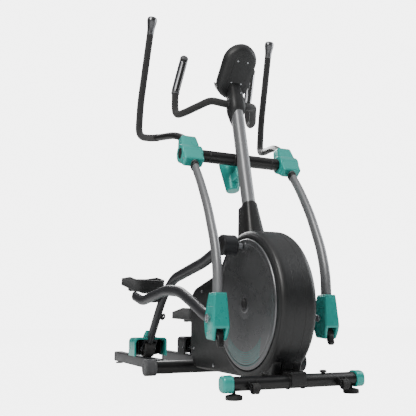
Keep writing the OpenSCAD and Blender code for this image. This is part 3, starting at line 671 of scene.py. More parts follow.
def floor_frame():
    """Front stabiliser with its covers, feet and wheels, middle stabiliser, rails and rear feet."""
    half, cap = CAP_HIGH[0], 34
    tube_half = half - cap
    parts = [lathe([(0.01, -tube_half), (23.5, -tube_half), (23.5, tube_half), (0.01, tube_half)], STAB, "x", 64)]
    parts += [lathe([(24, -4), (26.5, -3), (26.5, 3), (24, 4), (0.01, 4), (0.01, -4)][::-1], STAB + [x, 0, 0], "x")
              for x in (-30, 30)]
    parts.append(round_box((-30, -902, 36), (30, -838, 84), 3, 8, "x"))
    wheel = joint_point("transport_wheel_left")
    for x in (wheel[0] - 15, wheel[0] + 15):
        fork = corner_loop([[wheel[1] - 8, wheel[2] - 9], [wheel[1] - 8, wheel[2] + 9], [-882, 67], [-862, 60],
                            [-862, 38], [-882, 33]], 7)
        parts += both(slab(fork, x - 2, x + 2, 0.8))
    parts += both(lathe([(0.01, -21), (6, -21), (6, -17.4), (3.9, -17), (3.9, 17), (6, 17.4), (6, 21), (0.01, 21)],
                        wheel, "x", 24))
    piece("front_stabiliser_tube", parts, "frame", "black_tube", TUBE, ["front_stabiliser"])
    knobs = both(lathe([(0.01, 0), (7, 0), (7, 3), (12, 4), (12.5, 9), (10, 12), (0.01, 12.5)],
                       (118, STAB[1], 73), "z", 32, wave=lambda w: 1 + 0.03 * np.cos(12 * w)))
    piece("stabiliser_knobs", knobs, "frame", "black_tube", BLACK)

    loop = corner_loop([[-897, 23], [-843, 23], [-843, 79], [-897, 79]], 24, 10)
    shell = slab(loop, tube_half - 1, half, 9, 7)
    lip = slab(inset(loop, -0.9), tube_half - 2, tube_half + 6, 1.2)
    piece("front_end_covers", both(shell, lip), "frame", "teal_plastic", TEAL, ["front_end_caps"])
    screws = [screw((x, -843.2, 51), "y", 4, 2) for x in (-262, 262)]
    piece("front_end_screws", screws, "frame", "bare_steel", STEEL)

    foot = lathe([(0.01, 0), (26, 0), (28.5, 2.2), (28.5, 13), (26, 15), (13, 18.5), (8, 19), (5.8, 20),
                  (5.8, 34), (0.01, 34)], (joint_point("front_foot_left")[0], STAB[1], 0), "z", 96, 1.0,
                 wave=lambda w: 1 + 0.012 * np.cos(24 * w))
    pair("front_foot_pad", [foot], "front_foot_{}", "black_rubber", RUBBER, ["front_foot_{}"])

    roll = lathe([(0.01, -9), (7, -9), (8, -7), (12, -7), (13, -11), (15, -12.4), (18, -10.5), (18, -3),
                  (17, -1.6), (17, 1.6), (18, 3), (18, 10.5), (15, 12.4), (13, 11), (12, 7), (8, 7), (7, 9),
                  (0.01, 9)], wheel, "x", 48, 0.8)
    pair("transport_tyre", [roll], "transport_wheel_{}", "black_rubber", RUBBER, ["transport_wheel_{}"])

    middle = np.array([0, (MID_LOW[1] + MID_HIGH[1]) / 2, (MID_LOW[2] + MID_HIGH[2]) / 2])
    inner = 214
    bar = lathe([(0.01, -inner), (30, -inner), (30, inner), (0.01, inner)], middle, "x")
    saddle = both(round_box((ARM_X - 30, 20, 8), (ARM_X + 30, 66, 66), 2, 6, "z"))
    piece("mid_stabiliser_tube", [bar, *saddle], "frame", "black_tube", TUBE, ["mid_stabiliser"])
    r, end = 38.5, MID_HIGH[0]
    cap = lathe([(0.01, inner - 3), (r - 3, inner - 3), (r, inner), (r, inner + 6), (r - 1.4, inner + 7.5),
                 (r - 1.4, inner + 10), (r, inner + 11.5), (r, end - 5), (r - 5, end), (20, end), (19, end - 2),
                 (0.01, end - 2)], middle * [0, 1, 1], "x", 96, 1.2,
                wave=lambda w: 1 + 0.006 * (np.cos(48 * w) - 1))
    piece("levelling_rolls", both(cap), "frame", "charcoal_plastic", CAP_GREY, ["mid_end_caps"])

    x0, x1, y0, y1, top = RAIL_LOW[0], RAIL_HIGH[0], RAIL_LOW[1], RAIL_HIGH[1], 68.4
    beam = round_box((x0, y0, RAIL_LOW[2]), (x1, y1, top), 1.5, 7, "y")
    stops = [round_box((ARM_X - 12, y - 6, top - 1), (ARM_X + 12, y + 6, top + 5), 2, 4, "z") for y in (100, 650)]
    strip = round_box((ARM_X - 17, 130, top - 1), (ARM_X + 17, 640, top + 0.25), 0.4, 4, "z")
    pair("rail_beam", [beam], "frame", "charcoal_tube", ARM_COAT, ["rail_{}"])
    pair("rail_stops", stops, "frame", "black_rubber", RUBBER)
    pair("rail_strip", [strip], "frame", "bare_steel", STEEL)
    plug = slab(corner_loop([[x0, RAIL_LOW[2]], [x1, RAIL_LOW[2]], [x1, top], [x0, top]], 9), y1, 930, 3, axis="y")
    rib = slab(corner_loop([[x0 - 1, RAIL_LOW[2] - 0.6], [x1 + 1, RAIL_LOW[2] - 0.6], [x1 + 1, top + 1],
                            [x0 - 1, top + 1]], 9), y1 - 24, y1 - 2, 1, axis="y")
    piece("rail_end_plugs", both(plug, rib), "frame", "charcoal_plastic", CAP_GREY, ["rail_end_caps"])
    pad = lathe([(0.01, 0), (20, 0), (22, 1.5), (22, 6), (19, 8), (7, 9), (7, 13.5), (0.01, 13.5)], (ARM_X, 896, 0),
                "z", 48)
    piece("rear_foot_pads", both(pad), "frame", "black_rubber", RUBBER, ["rear_feet"])


# ---------------------------------------------------------------- housing and drive

DRUM_R, BAND_HALF = 284.0, 22.0
TAIL_Y, TAIL_HALF, SKIRT = -120.0, 60.0, 42.0


def circle_points(centre, r, count=48):
    """Points on a circle: centre + r (cos w, sin w)."""
    w = np.arange(count) * 2 * math.pi / count
    return np.stack([np.cos(w), np.sin(w)], axis=1) * r + centre


def hull(points):
    """Convex hull of (u, v) points: Andrew's monotone chain over the points in order of u."""
    pts = sorted(map(tuple, points))
    chains = []
    for line in (pts, pts[::-1]):
        chain = []
        for q in line:
            while len(chain) > 1 and ((chain[-1][0] - chain[-2][0]) * (q[1] - chain[-2][1])
                                      - (chain[-1][1] - chain[-2][1]) * (q[0] - chain[-2][0])) <= 0:
                chain.pop()
            chain.append(q)
        chains += chain[:-1]
    return np.array(chains)


def housing_outline(drum_r):
    """The side outline of the housing: the drum, a round-cornered box behind it, and a flat skirt."""
    box = hull(np.vstack([circle_points((TAIL_Y, 326), 85), circle_points((TAIL_Y - 5, 130), 88),
                          circle_points((-430, 456), 20), circle_points((CRANK[1], 200), 90)]))
    skirt = [[CRANK[1] - 195, 120], [CRANK[1] - 165, SKIRT], [TAIL_Y, SKIRT], [TAIL_Y + 40, 140],
             [TAIL_Y - 60, 300], [CRANK[1] - 60, 300]]
    return outline_round(np.array([-450.0, 250.0]), [(CRANK[1:], drum_r)], [box, skirt], SKIRT, 360, 2)


def housing():
    """The two shells, the seam band between them, and the crank discs."""
    side = housing_outline(264)
    w = np.linspace(0, math.pi / 2, 9)
    edge = [(256 + 28 * math.cos(a), 48 + 28 * math.sin(a)) for a in w]
    edge[5:5] = [(272.6, 70.0), (270.6, 70.6), (271.0, 71.9)]
    rim = hoop([(DRUM_R, BAND_HALF + 0.25), *edge, (254.5, 75.6), (253, 74), (253, 62), (262, 54),
                (262, BAND_HALF + 0.25)], CRANK, "x", 160, 0.6)
    tail = slab(side, BAND_HALF + 0.25, TAIL_HALF, 11, 8)
    pair("housing_shell", [rim, tail], "frame", "charcoal_plastic", HOUSING, ["housing_{}"], sharp=50)
    band = slab(inset(housing_outline(DRUM_R), 0.3), -BAND_HALF - 0.1, BAND_HALF + 0.1, 0.5)
    piece("housing_seam_band", [band], "frame", "black_plastic", HOUSING, ["housing_band"])
    spots = [(TAIL_Y + 35, 130), (TAIL_Y + 30, 330), (TAIL_Y - 190, 66), (TAIL_Y - 60, 388)]
    fixings = [lathe([(0.01, -2), (6.5, -2), (7.5, 0.9), (6, 1.1), (5, -0.6), (0.01, -0.6)],
                     (TAIL_HALF + 0.6, y, z), "x", 28, 0.4) for y, z in spots]
    piece("housing_screws", both(*fixings), "frame", "bare_steel", STEEL)

    face = [(0.01, 66), (16.8, 66), (17, 71), (18.5, 76), (21, 77.2), (34, 77.4), (37, 75.6), (60, 75.2),
            (188, 79.4), (226, 80), (228, 79.0), (231, 79.0), (233, 80), (246, 80), (250, 76.5), (250, 68),
            (244, 66), (0.01, 66)]
    seat = lathe([(0.01, 70), (25, 70), (25, 80), (22, 81.2), (13, 81.2), (12.2, 78), (0.01, 78)],
                 PIN_UP * [0, 1, 1], "x", 40)
    left_seat = moved(seat, (0, 0, -2 * CRANK_R))
    disc = lathe(face, CRANK * [0, 1, 1], "x", 160, 1.2)
    for name, parts in (("crank_disc_right", [mirrored(disc), mirrored(seat)]), ("crank_disc_left", [disc, left_seat])):
        piece(name + "_face", parts, "crank", "disc_silver", DISC, [name])
    # Black discs in the crank hubs: painted shade that stands for the dark inside of the hub holes.
    hub = lathe([(0.01, 70), (20.5, 70), (20.5, 79), (19, 80), (12, 79.4), (11, 78.4), (0.01, 78.4)],
                CRANK * [0, 1, 1], "x", 40)
    piece("crank_hub_hole_shade", both(hub), "crank", "black_plastic", BLACK)


# ---------------------------------------------------------------- mast, handlebar and console

def section_rows(levels, power=2.6, count=56):
    """Rows of superellipses at heights s with half-widths a and b and a forward shift c: (s, a, b, c)."""
    rows = []
    for s, a, b, c in levels:
        loop = ring(a, b, power, count)
        rows.append(np.column_stack([loop[:, 0], loop[:, 1] + c, np.full(count, s)]))
    return skin(rows)


def mast_parts():
    """Mast cover and tube, cross axle, fixed handlebar, pulse grips and the hood over the clamp."""
    t = np.linspace(0, 1, 26)
    flare = [(258 + 162 * u, 45.5 - 16.5 * u, 66 - 17 * u, 17 - 4 * u) for u in t]
    lip = [(421.2, 27.6, 47.6, 13), (421.6, 25, 36, 2)]
    cover = mapped(section_rows(flare + lip, 3.6, 96), on_mast)
    ringed = mapped(section_rows([(420, 26.6, 34.4, 0), (421, 27.4, 35.2, 0), (427, 26.8, 34.6, 0),
                                  (428, 25.6, 33.2, 0)], 2.4), on_mast)
    piece("mast_base_cover", [cover, ringed], "frame", "black_plastic", BLACK, ["mast_cover"])
    levels = [(300, 24, 31, 0)] + [(s, 25, 32, 0) for s in np.linspace(301, 928, 24)] + [(930, 24, 31, 0)]
    piece("mast_tube", [mapped(section_rows(levels, 2.5), on_mast)], "frame", "silver_paint", SILVER, ["mast"])

    grooves = []
    for h in (-150, -34, 34, 150):
        grooves += [(27, h - 2.4), (25.6, h - 1.4), (25.6, h + 1.4), (27, h + 2.4)]
    axle = lathe([(0.01, -186), (24, -186), (27, -184), *grooves, (27, 184), (24, 186), (0.01, 186)],
                 SWING * [0, 1, 1], "x", 72, 0.5)
    stub = lathe([(0.01, -270), (17, -270), (17, 270), (0.01, 270)], SWING * [0, 1, 1], "x", 40)
    piece("cross_axle_tube", [axle, stub], "frame", "black_tube", TUBE, ["cross_axle"])

    low = smooth_path([[0, -428, 1214], [58, -426, 1216], [108, -392, 1236], [184, -240, 1214], [197, -184, 1222],
                       [198, -165, 1262], [196, -163, 1338]], 26, 12)
    piece("fixed_handlebar", both(tube(dense(low, 8), ring(17, 17), (0, 1, 0))), "frame", "black_foam", FOAM,
          ["handlebar"])
    grip_path = dense(smooth_path([[196, -163, 1336], [195.5, -166, 1352], [181, -243, 1490]], 12, 8), 5)
    way = frames_along(grip_path, (1, 0, 0))[0]
    wide = ring(19.4, 19.4, 2, 48)
    piece("pulse_grip_core", both(tube(grip_path, wide, (1, 0, 0), 6)), "frame", "black_plastic", BLACK)
    plates = []
    for lead in (15, 39):
        arc = np.roll(ring(20.2, 20.2, 2, 48), -lead, 0)[:19]
        back = np.roll(ring(18.4, 18.4, 2, 48), -lead, 0)[:19][::-1]
        plates.append(tube(grip_path[3:-3], np.vstack([arc, back]), (1, 0, 0), 0.6))
    piece("pulse_grip_plates", both(*plates), "frame", "chrome", CHROME, ["pulse_grips"])
    collar = tube(grip_path[:3], ring(20.6, 20.6, 2, 48), (1, 0, 0), 1)
    knob = aimed(lathe([(0.01, -5), (19.8, -5), (20, -1), (18.4, 5), (14, 10), (7, 13.4), (0.01, 14.4)], (0, 0, 0),
                       "z", 48, 2), grip_path[-1], way[-1])
    piece("pulse_grip_ends", both(collar, knob), "frame", "grey_plastic", CAP_GREY)

    clamp = [(812, 7, 5, 33), (818, 12, 8, 32), (832, 18, 14, 27), (850, 26, 24, 19), (866, 31, 34, 11),
             (880, 34.5, 42, 6), (892, 36.4, 45.6, 4), (932, 36.4, 45.8, 4), (944, 35, 45, 4), (952, 33, 43.4, 3),
             (990, 28.4, 34.5, 1.6), (1018, 24.8, 28.6, 0), (1022, 21.8, 25, 0)]
    hood = mapped(section_rows(clamp, 3.2, 72), on_mast)
    sleeves = both(tube(dense(low[:4], 4)[:12], ring(19.5, 19.5), (0, 1, 0), 3))
    piece("handlebar_clamp_hood", [hood, *sleeves], "frame", "charcoal_plastic", CHARCOAL, ["clamp_cover"])
    hole = mapped(lathe([(0.01, -2), (5, -2), (6.5, 0.8), (5.2, 1.0), (4.4, -1), (0.01, -1)], (0, 0, 0), "y", 24,
                        0.4), lambda p: on_mast(p * [1, -1, 1] + [14, -39.4, 958]))
    piece("clamp_screw", [hole], "frame", "bare_steel", STEEL)


def console():
    """Console shell, trim, ledge, screws and button caps."""
    ends = hull(np.vstack([circle_points((0, 50), 80), circle_points((0, -50), 80)]))
    outline = outline_round(np.array([0.0, 0.0]), [], [ends], count=120, blur=1)
    t = np.linspace(0, 1, 16)
    rows = []
    for u in t:
        depth, level = 38 * (1 - (1 - u ** 2.6) ** (1 / 2.6)), 12 - 44 * u
        flat = inset(outline, depth)
        rows.append(np.column_stack([flat, np.full(len(flat), level)]))
    dome = mapped(skin(rows[::-1]), on_console)
    plate = mapped(slab(inset(outline, 42), -34.0, -30, 1.4, axis="z"), on_console)
    piece("console_shell", [dome, plate], "frame", "charcoal_plastic", CHARCOAL, ["console_back"], sharp=50)
    heads = [mapped(lathe([(0.01, 0), (4.5, 0), (4.2, 1.6), (2, 2), (1.8, 0.8), (0.01, 0.8)], (0, 0, 0), "z", 20,
                          0.3), lambda p, x=x, y=y: on_console(p * [1, 1, -1] + [x, y, -33.8]))
             for x, y in ((-24, 62), (24, 62), (-24, -40), (24, -40))]
    piece("console_screws", heads, "frame", "bare_steel", STEEL)
    rows = [np.column_stack([inset(outline, d), np.full(len(outline), z)]) for d, z in
            ((0.8, 11), (0.8, 14), (2.6, 17.6), (6.6, 17.6), (7.6, 16.4), (7.6, 11))]
    piece("console_trim", [mapped(ring_skin(rows), on_console)], "frame", "charcoal_plastic", BLACK)
    edge = outline[outline[:, 1] < -78]
    edge = edge[np.argsort(edge[:, 0])]
    lip = np.vstack([edge, inset(outline, 7)[outline[:, 1] < -78][np.argsort(-outline[outline[:, 1] < -78][:, 0])]])
    piece("console_ledge", [mapped(slab(lip, 10, 50, 2.4, axis="z"), on_console)], "frame", "charcoal_plastic",
          CHARCOAL)
    for name, x, y, r, slot, finish in (("start", 0, -62, 15, "teal_plastic", TEAL),
                                        ("up", -36, -58, 10, "grey_plastic", GREY),
                                        ("down", 36, -58, 10, "grey_plastic", GREY)):
        cap = lathe([(0.01, 7.3), (r + 2, 7.3), (r + 2, 9.7), (r - 0.3, 9.7), (r - 0.3, 18.4), (r - 1.6, 20),
                     (r * 0.5, 19.4), (0.01, 19.1)], (x, y, 0), "z", 40, 0.7)
        piece(name + "_button_cap", [mapped(cap, on_console)], name + "_button", slot, finish, [name + "_button"])


CUP_BASE, CUP_BACK, CUP_HEIGHT, CUP_LOW_R, CUP_HIGH_R = 545.0, 128.0, 138.0, 30.0, 50.0


def spun_round(part, angle, back):
    """A vertical rib put on the outside of the cup, whose wall widens evenly from CUP_LOW_R to CUP_HIGH_R."""
    points = part[0] - [0, 0, CUP_BASE]
    out = CUP_LOW_R + points[:, 2] * (CUP_HIGH_R - CUP_LOW_R) / CUP_HEIGHT - 0.6
    w = math.pi / 2 + angle
    x, y = points[:, 0] + out * math.cos(w), points[:, 1] + out * math.sin(w) + back
    return np.column_stack([x, y, points[:, 2] + CUP_BASE]), part[1]


def bottle_holder():
    """The cup behind the mast, on its arm."""
    base, back = CUP_BASE, CUP_BACK
    cup = lathe([(0.01, base), (27, base), (30.2, base + 3), (46, base + 110), (46.8, base + 112), (49.4, base + 133),
                 (50, base + 136), (48.8, base + 138), (47.4, base + 137), (46.8, base + 134), (27.6, base + 8),
                 (24, base + 5), (0.01, base + 5)], (0, back, 0), "z", 80, 1.4)
    ribs = [spun_round(lathe([(0.01, base + 6), (3, base + 8), (3, base + 108), (0.01, base + 110)], (0, 0, 0), "z",
                             12, 0.8), angle, back) for angle in (-0.6, 0.0, 0.6)]
    arm = round_box((-17, 28, base + 28), (17, back - 32, base + 70), 3, 8, "y")
    collar = round_box((-21, 30, base + 22), (21, 42, base + 74), 3, 8, "y")
    cup, arm, collar, *ribs = [mapped(q, on_mast) for q in (cup, arm, collar, *ribs)]
    piece("bottle_cup", [cup, arm, collar, *ribs], "frame", "teal_plastic", TEAL, ["bottle_holder"])


# ---------------------------------------------------------------- swing arms

def swing_arms():
    """Upper brackets, swing tubes and foam-covered handles."""
    y, z = SWING[1:]
    up_horn = np.array([[-34, 4], [10, 88], [58, 78], [42, 22], [26, -24], [-22, -18]]) + [y, z]
    low_horn = np.array([[-36, 18], [-62, -32], [-28, -60], [20, -34], [38, -4], [16, 20]]) + [y, z]
    side = outline_round(SWING[1:], [(SWING[1:], 41.0)], [hull(up_horn), hull(low_horn)], count=200, blur=3)

    def lean_in(points):
        """Narrows the bracket towards its top: 26 % less half-width over 80 mm."""
        share = np.clip((points[:, 2] - z - 10) / 80, 0, 1)
        x = BRACKET_X + (points[:, 0] - BRACKET_X) * (1 - share * 0.26)
        return np.column_stack([x, points[:, 1], points[:, 2]])

    hub = lathe([(0.01, 189), (36, 188.4), (40, 191), (41, 196), (41, 274), (40, 279), (36, 282), (27, 282),
                 (25.5, 280.5), (25, 276.5), (0.01, 276.5)], SWING * [0, 1, 1], "x", 80, 1.5)
    parts = [mapped(slab(side, 190, 280, 11, 8), lean_in), hub]
    pair("bracket_cover", parts, "swing_arm_{}", "teal_plastic", TEAL, ["upper_bracket_{}"])
    cap = lathe([(0.01, 272), (23, 272), (23, 279.6), (21, 281.2), (8, 281.4), (7, 279.6), (0.01, 279.6)],
                SWING * [0, 1, 1], "x", 48, 0.8)
    pair("bracket_axle_cap", [cap], "swing_arm_{}", "black_plastic", BLACK)
    spots = [(-44, -32), (-8, -42)]
    heads = [screw((279.4, y + a, z + b), "x", 4.4, 2) for a, b in spots]
    pair("bracket_screws", heads, "swing_arm_{}", "bare_steel", STEEL)

    path = dense(smooth_path(in_plane(SWING_X, [(y - 36, z - 40), (-572, 812), (-648, 690), (-716, 540), (-740, 440),
                                            (-740, 353)]), 45, 14), 9)
    body = tube(path, ring(17, 25, 2.3, 48), grow=lambda u: 0.75 + 0.25 * u)
    pair("swing_tube_body", [body], "swing_arm_{}", "silver_paint", SILVER, ["swing_tube_{}"])
    sleeve = tube(path[2:5], ring(16.4, 22.4, 2.3, 48))
    pair("swing_tube_collar", [sleeve], "swing_arm_{}", "black_plastic", BLACK)

    top = np.array([326.8, -157.7, 1628.9])
    route = smooth_path([[234, y + 38, z + 76], [252, -330, 1072], [300, -130, 1108], [337, -30, 1142],
                         [337, -52, 1300], top], 52, 14)
    path = dense(route, 6)
    pair("handle_foam", [tube(path[44:], ring(17, 17, 2, 36), (1, 0, 0), 3)], "swing_arm_{}", "black_foam", FOAM,
         ["handle_{}"])
    bare = tube(path[:47], ring(16, 16, 2, 36), (1, 0, 0), 1)
    joint = tube(path[43:46], ring(17.8, 17.8, 2, 36), (1, 0, 0), 1.5)
    pair("handle_tube", [bare], "swing_arm_{}", "black_tube", TUBE)
    pair("handle_joint", [joint], "swing_arm_{}", "black_plastic", BLACK)
    way = unit(top - path[-4])
    profile = [(0.01, -6), (17.3, -6), (17.3, 0), (17.8, 1), (17.8, 14), (18.6, 24), (21, 40), (23.6, 54), (24.4, 62),
               (23.8, 70), (21.4, 76), (16, 80.4), (9, 82), (0.01, 82)]
    cap = aimed(lathe(profile, (0, 0, 0), "z", 56, 3), top, way)
    pair("handle_end_cap", [cap], "swing_arm_{}", "silver_paint", DARK_SILVER, ["handle_cap_{}"])


def yokes():
    """The shoe at the foot of each swing tube, its tongue, pin and screws."""
    y, z = YOKE[1:]
    wedge = np.array([[-44, 88], [18, 88], [40, 0], [30, -74], [-32, -78], [-50, -30]]) + [y, z]
    side = outline_round(YOKE[1:], [(YOKE[1:], 37.0)], [wedge], count=200, blur=2)

    def taper(points):
        """Narrows the shoe towards its top: its half-width falls from 33 mm to 24 mm over 98 mm."""
        share = np.clip((points[:, 2] - (z - 10)) / 98, 0, 1)
        low = np.clip((z - 50 - points[:, 2]) / 28, 0, 1)
        x = SWING_X + (points[:, 0] - SWING_X) * (1 - share * 9 / 33 - low * 6 / 33)
        return np.column_stack([x, points[:, 1], points[:, 2]])

    cheeks = [mapped(slab(side, a, a + 15.5, 7.5, 7), taper) for a in (201, 251.5)]
    above = side[side[:, 1] > z + 41]
    block = mapped(slab(np.vstack([above, [[above[-1][0], z + 40], [above[0][0], z + 40]]]), 203, 265, 2), taper)
    nose = side[(side[:, 0] < y - 28) & (side[:, 1] > z - 36)]
    nose = np.vstack([nose, [[y - 29.5, nose[-1][1]], [y - 29.5, nose[0][1]]]])
    front = mapped(slab(inset(nose, 0.2), 204, 264, 2), taper)
    shelf = slab(corner_loop(np.array([[-43, 91], [17, 91], [19, 84], [-45, 84]]) + [y, z], 2), 211.5, 256.5, 3)
    parts = [*cheeks, block, front, shelf]
    pair("yoke_shell", parts, "swing_arm_{}", "teal_plastic", TEAL, ["yoke_{}"], sharp=45)
    tongue = slab(corner_loop(np.array([[-29, -46], [-10, -60], [-24, -96], [-34, -102], [-44, -94], [-40, -66]])
                              + [y, z], 9), 222, 246, 6)
    link_end = slab(corner_loop(np.array([[-25, -34], [-8, -52], [-18, -74], [-36, -60]]) + [y, z], 8), 218, 250, 4)
    pair("yoke_tongue", [tongue, link_end], "swing_arm_{}", "black_plastic", BLACK)
    pin = lathe([(0.01, 195), (12.6, 195), (14, 196.4), (14, 200.8), (9, 201), (9, 267), (16, 268.4), (16, 272.6),
                 (14, 274), (9.6, 274), (9, 271.6), (0.01, 271.6)], YOKE * [0, 1, 1], "x", 48, 0.5)
    pair("yoke_pin_body", [pin], "swing_arm_{}", "bare_steel", STEEL, ["yoke_pin_{}"])
    heads = [screw((268.2, y + a, z + b), "x", 4.2, 1.8) for a, b in ((2, -52), (-18, -46))]
    pair("yoke_screws", heads, "swing_arm_{}", "bare_steel", STEEL)


# ---------------------------------------------------------------- foot links and pedals

PEDAL_TILT = math.radians(10)
PEDAL_FRONT = np.array([ARM_X + 4, 278.0, 408.0])


def on_pedal(points):
    """From the pedal's own frame, with y along it from its front edge, to the row frame."""
    return turned(points, PEDAL_TILT) + PEDAL_FRONT


def pedal_tray():
    """The foot tray: the rim is level to 150 mm, then falls by 9 degrees to the heel."""
    base = corner_loop([[-82, 0], [82, 0], [82, 345], [-82, 345]], 46, 12)
    closed = np.vstack([base, base[:1]])
    base = dense(np.column_stack([closed, np.zeros(len(closed))]), 7)[:-1, :2]
    rim = 57 - np.maximum(base[:, 1] - 150, 0) * math.tan(math.radians(9))
    rows = []
    for depth, level, rides in ((8, -9, 0), (3, -8, 0), (0.6, -5, 0), (0, -1, 0), (0.8, -9, 1), (0, -8, 1),
                                (0, -2.6, 1), (0.8, -0.8, 1), (2.8, 0, 1), (6.6, 0, 1), (8.8, -0.8, 1), (9.8, -2.8, 1),
                                (11.5, 18, 0), (13, 15, 0), (16, 14, 0)):
        flat = inset(base, depth)
        height = rim + level if rides else np.full(len(base), float(level))
        rows.append(np.column_stack([flat, height]))
    return skin(rows)


def foot_links():
    """The tube from each yoke to its pedal, and the pedal on it."""
    y, z = YOKE[1:]
    route = smooth_path(in_plane(SWING_X, [(y + 14, z + 1), (-636, 274), (-490, 330), (-350, 378), (-180, 390),
                                       (40, 368), (178, 352), (330, 384)]), 50, 14)
    link = tube(dense(route, 10), ring(15, 24, 2.4, 48), (1, 0, 0), 4)
    eye = lathe([(0.01, 218), (22, 218), (25, 220), (25, 248), (22, 250), (0.01, 250)], YOKE * [0, 1, 1], "x", 48)
    end_plug = lathe([(0.01, -4), (14, -4), (14, 3), (12, 5), (0.01, 5)], (234, 330, 384), "y", 32)
    w = np.linspace(0, math.pi, 17)
    notch = np.stack([KNEE[1] - 17 * np.cos(w), KNEE[2] + 17 * np.sin(w)], axis=1)
    outline = np.vstack([[[66, 347], [69, 344]], [[KNEE[1] - 17, 344]], notch, [[KNEE[1] + 17, 344]],
                         [[135, 344], [138, 347], [138, 381], [134, 385], [70, 385], [66, 381]]])
    plate = slab(outline, 182, 229, 0.8)
    pair("foot_link_tube", [link, eye, end_plug, plate], "foot_link_{}", "charcoal_tube", ARM_COAT, ["foot_link_{}"],
         left=left_link)
    block = mapped(round_box((-30, 60, -22), (30, 250, 1), 2, 8, "z"), on_pedal)
    cross = mapped(round_box((20, 128, -20), (80, 168, -1), 2, 4, "y"), on_pedal)
    tray = mapped(pedal_tray(), on_pedal)
    pair("pedal_tray", [tray, block, cross], "foot_link_{}", "charcoal_plastic", CHARCOAL, ["pedal_{}"],
         left=left_link, sharp=50)
    ribs = [mapped(round_box((-wide, a - 4, 13), (wide, a + 4, 16.4), 1.2, 3, "z"), on_pedal)
            for a in np.arange(34, 316, 15.5)
            for wide in [62.0 - max(0.0, 50 - a) * 0.5 - max(0.0, a - 296) * 0.6]]
    mat = mapped(slab(corner_loop([[-66, 18], [66, 18], [66, 327], [-66, 327]], 32), 12, 14.6, 0.8, axis="z"),
                 on_pedal)
    pair("pedal_tread", [mat, *ribs], "foot_link_{}", "black_rubber", RUBBER, left=left_link)
    knob = mapped(lathe([(0.01, 0), (7, 0), (7, -8), (15, -10), (16.5, -14), (16, -22), (12, -26), (0.01, -27)],
                        (0, 285, -1), "z", 48, 1, wave=lambda a: 1 + 0.05 * np.cos(9 * a)), on_pedal)
    pair("pedal_knob", [knob], "foot_link_{}", "black_plastic", BLACK, left=left_link)


# ---------------------------------------------------------------- pedal arms, rollers and guards

def pedal_arms():
    """The arm from each crank pin down to its roller, with its bearing housing and steel parts."""
    route = smooth_path(in_plane(ARM_X, [(-606, 541), (-424, 498), (-62, 452), (70, 386), (150, 312), (296, 152)]),
                        45, 14)
    path = dense(route, 9)
    arm = tube(path, ring(18, 24, 2.3, 48), (1, 0, 0), 3)
    centre = PIN_UP * [0, 1, 1]
    housing_barrel = lathe([(0.01, 114), (37, 114), (40, 117), (40, 173), (37, 176), (31, 176), (30, 172),
                            (0.01, 172)], centre, "x", 72, 1.2)
    rings = [hoop([(40.8, h - 2), (40.8, h + 2), (39, h + 2), (39, h - 2)], centre, "x", 64, 0.5) for h in (124, 166)]
    weld = tube(path[:7], ring(20, 26, 2.3, 48), (1, 0, 0), 4)
    knee_boss = lathe([(0.01, 170), (14, 170), (14, 178), (12.6, 179), (0.01, 179)], KNEE * [0, 1, 1], "x", 32, 0.5)
    lie = math.atan2(ROLLER_RIGHT[2] - 312, ROLLER_RIGHT[1] - 150)
    at = np.array([ARM_X, ROLLER_RIGHT[1], ROLLER_RIGHT[2]])
    fork = [round_box((-36, -66, -14), (36, -58, 14), 1.5, 3, "y")]
    fork += [round_box((s * 33 - 3, -62, -14), (s * 33 + 3, 4, 14), 1, 4, "x") for s in (-1, 1)]
    fork = [mapped(f, lambda p: turned(p, lie) + at) for f in fork]
    eyes = [lathe([(0.01, h), (15.6, h), (17, h + 1.2), (17, h + 5.8), (15.6, h + 7), (0.01, h + 7)], at, "x", 36, 0.5)
            for h in (-36.5, 29.5)]
    lug = mapped(hoop([(5, -4), (5, 4), (12, 4), (12, -4)], (0, 0, 0), "y", 40, 1), lambda p: turned(
        p * [1, 1, 1.7], lie + math.pi / 2) + [ARM_X - 27, 172, 274])
    lug_base = round_box((ARM_X - 25, 158, 262), (ARM_X - 12, 182, 288), 2, 3, "x")
    pair("pedal_arm_tube", [arm, housing_barrel, *rings, weld, knee_boss, *fork, *eyes, lug, lug_base], "pedal_arm_{}",
         "charcoal_tube", ARM_COAT, ["pedal_arm_{}"], left=left_arm)
    cover = lathe([(0.01, 171), (29, 171), (29, 174.4), (26, 176), (9, 177.2), (8, 175.8), (0.01, 175.8)], centre, "x",
                  56, 0.6)
    pair("pedal_arm_bearing_cover", [cover], "pedal_arm_{}", "black_plastic", BLACK, left=left_arm)
    pin = lathe([(0.01, 84), (11, 84), (12, 85), (12, 104), (20, 105.5), (20, 112), (14, 114), (0.01, 114)], centre,
                "x", 48, 0.4)
    bolt = lathe([(0.01, 172), (8, 172), (8, 211.6), (7, 213), (0.01, 213)], KNEE * [0, 1, 1], "x", 32, 0.4)
    axle = lathe([(0.01, -40), (7, -40), (8, -39), (8, 39), (7, 40), (0.01, 40)], at, "x", 32, 0.3)
    nuts = [lathe([(0.01, h), (12, h), (12, h + 4), (0.01, h + 4)], at, "x", 6, 0.2) for h in (36.6, -40.6)]
    pair("pedal_arm_steel", [pin, bolt, axle, *nuts], "pedal_arm_{}", "bare_steel", STEEL, left=left_arm)


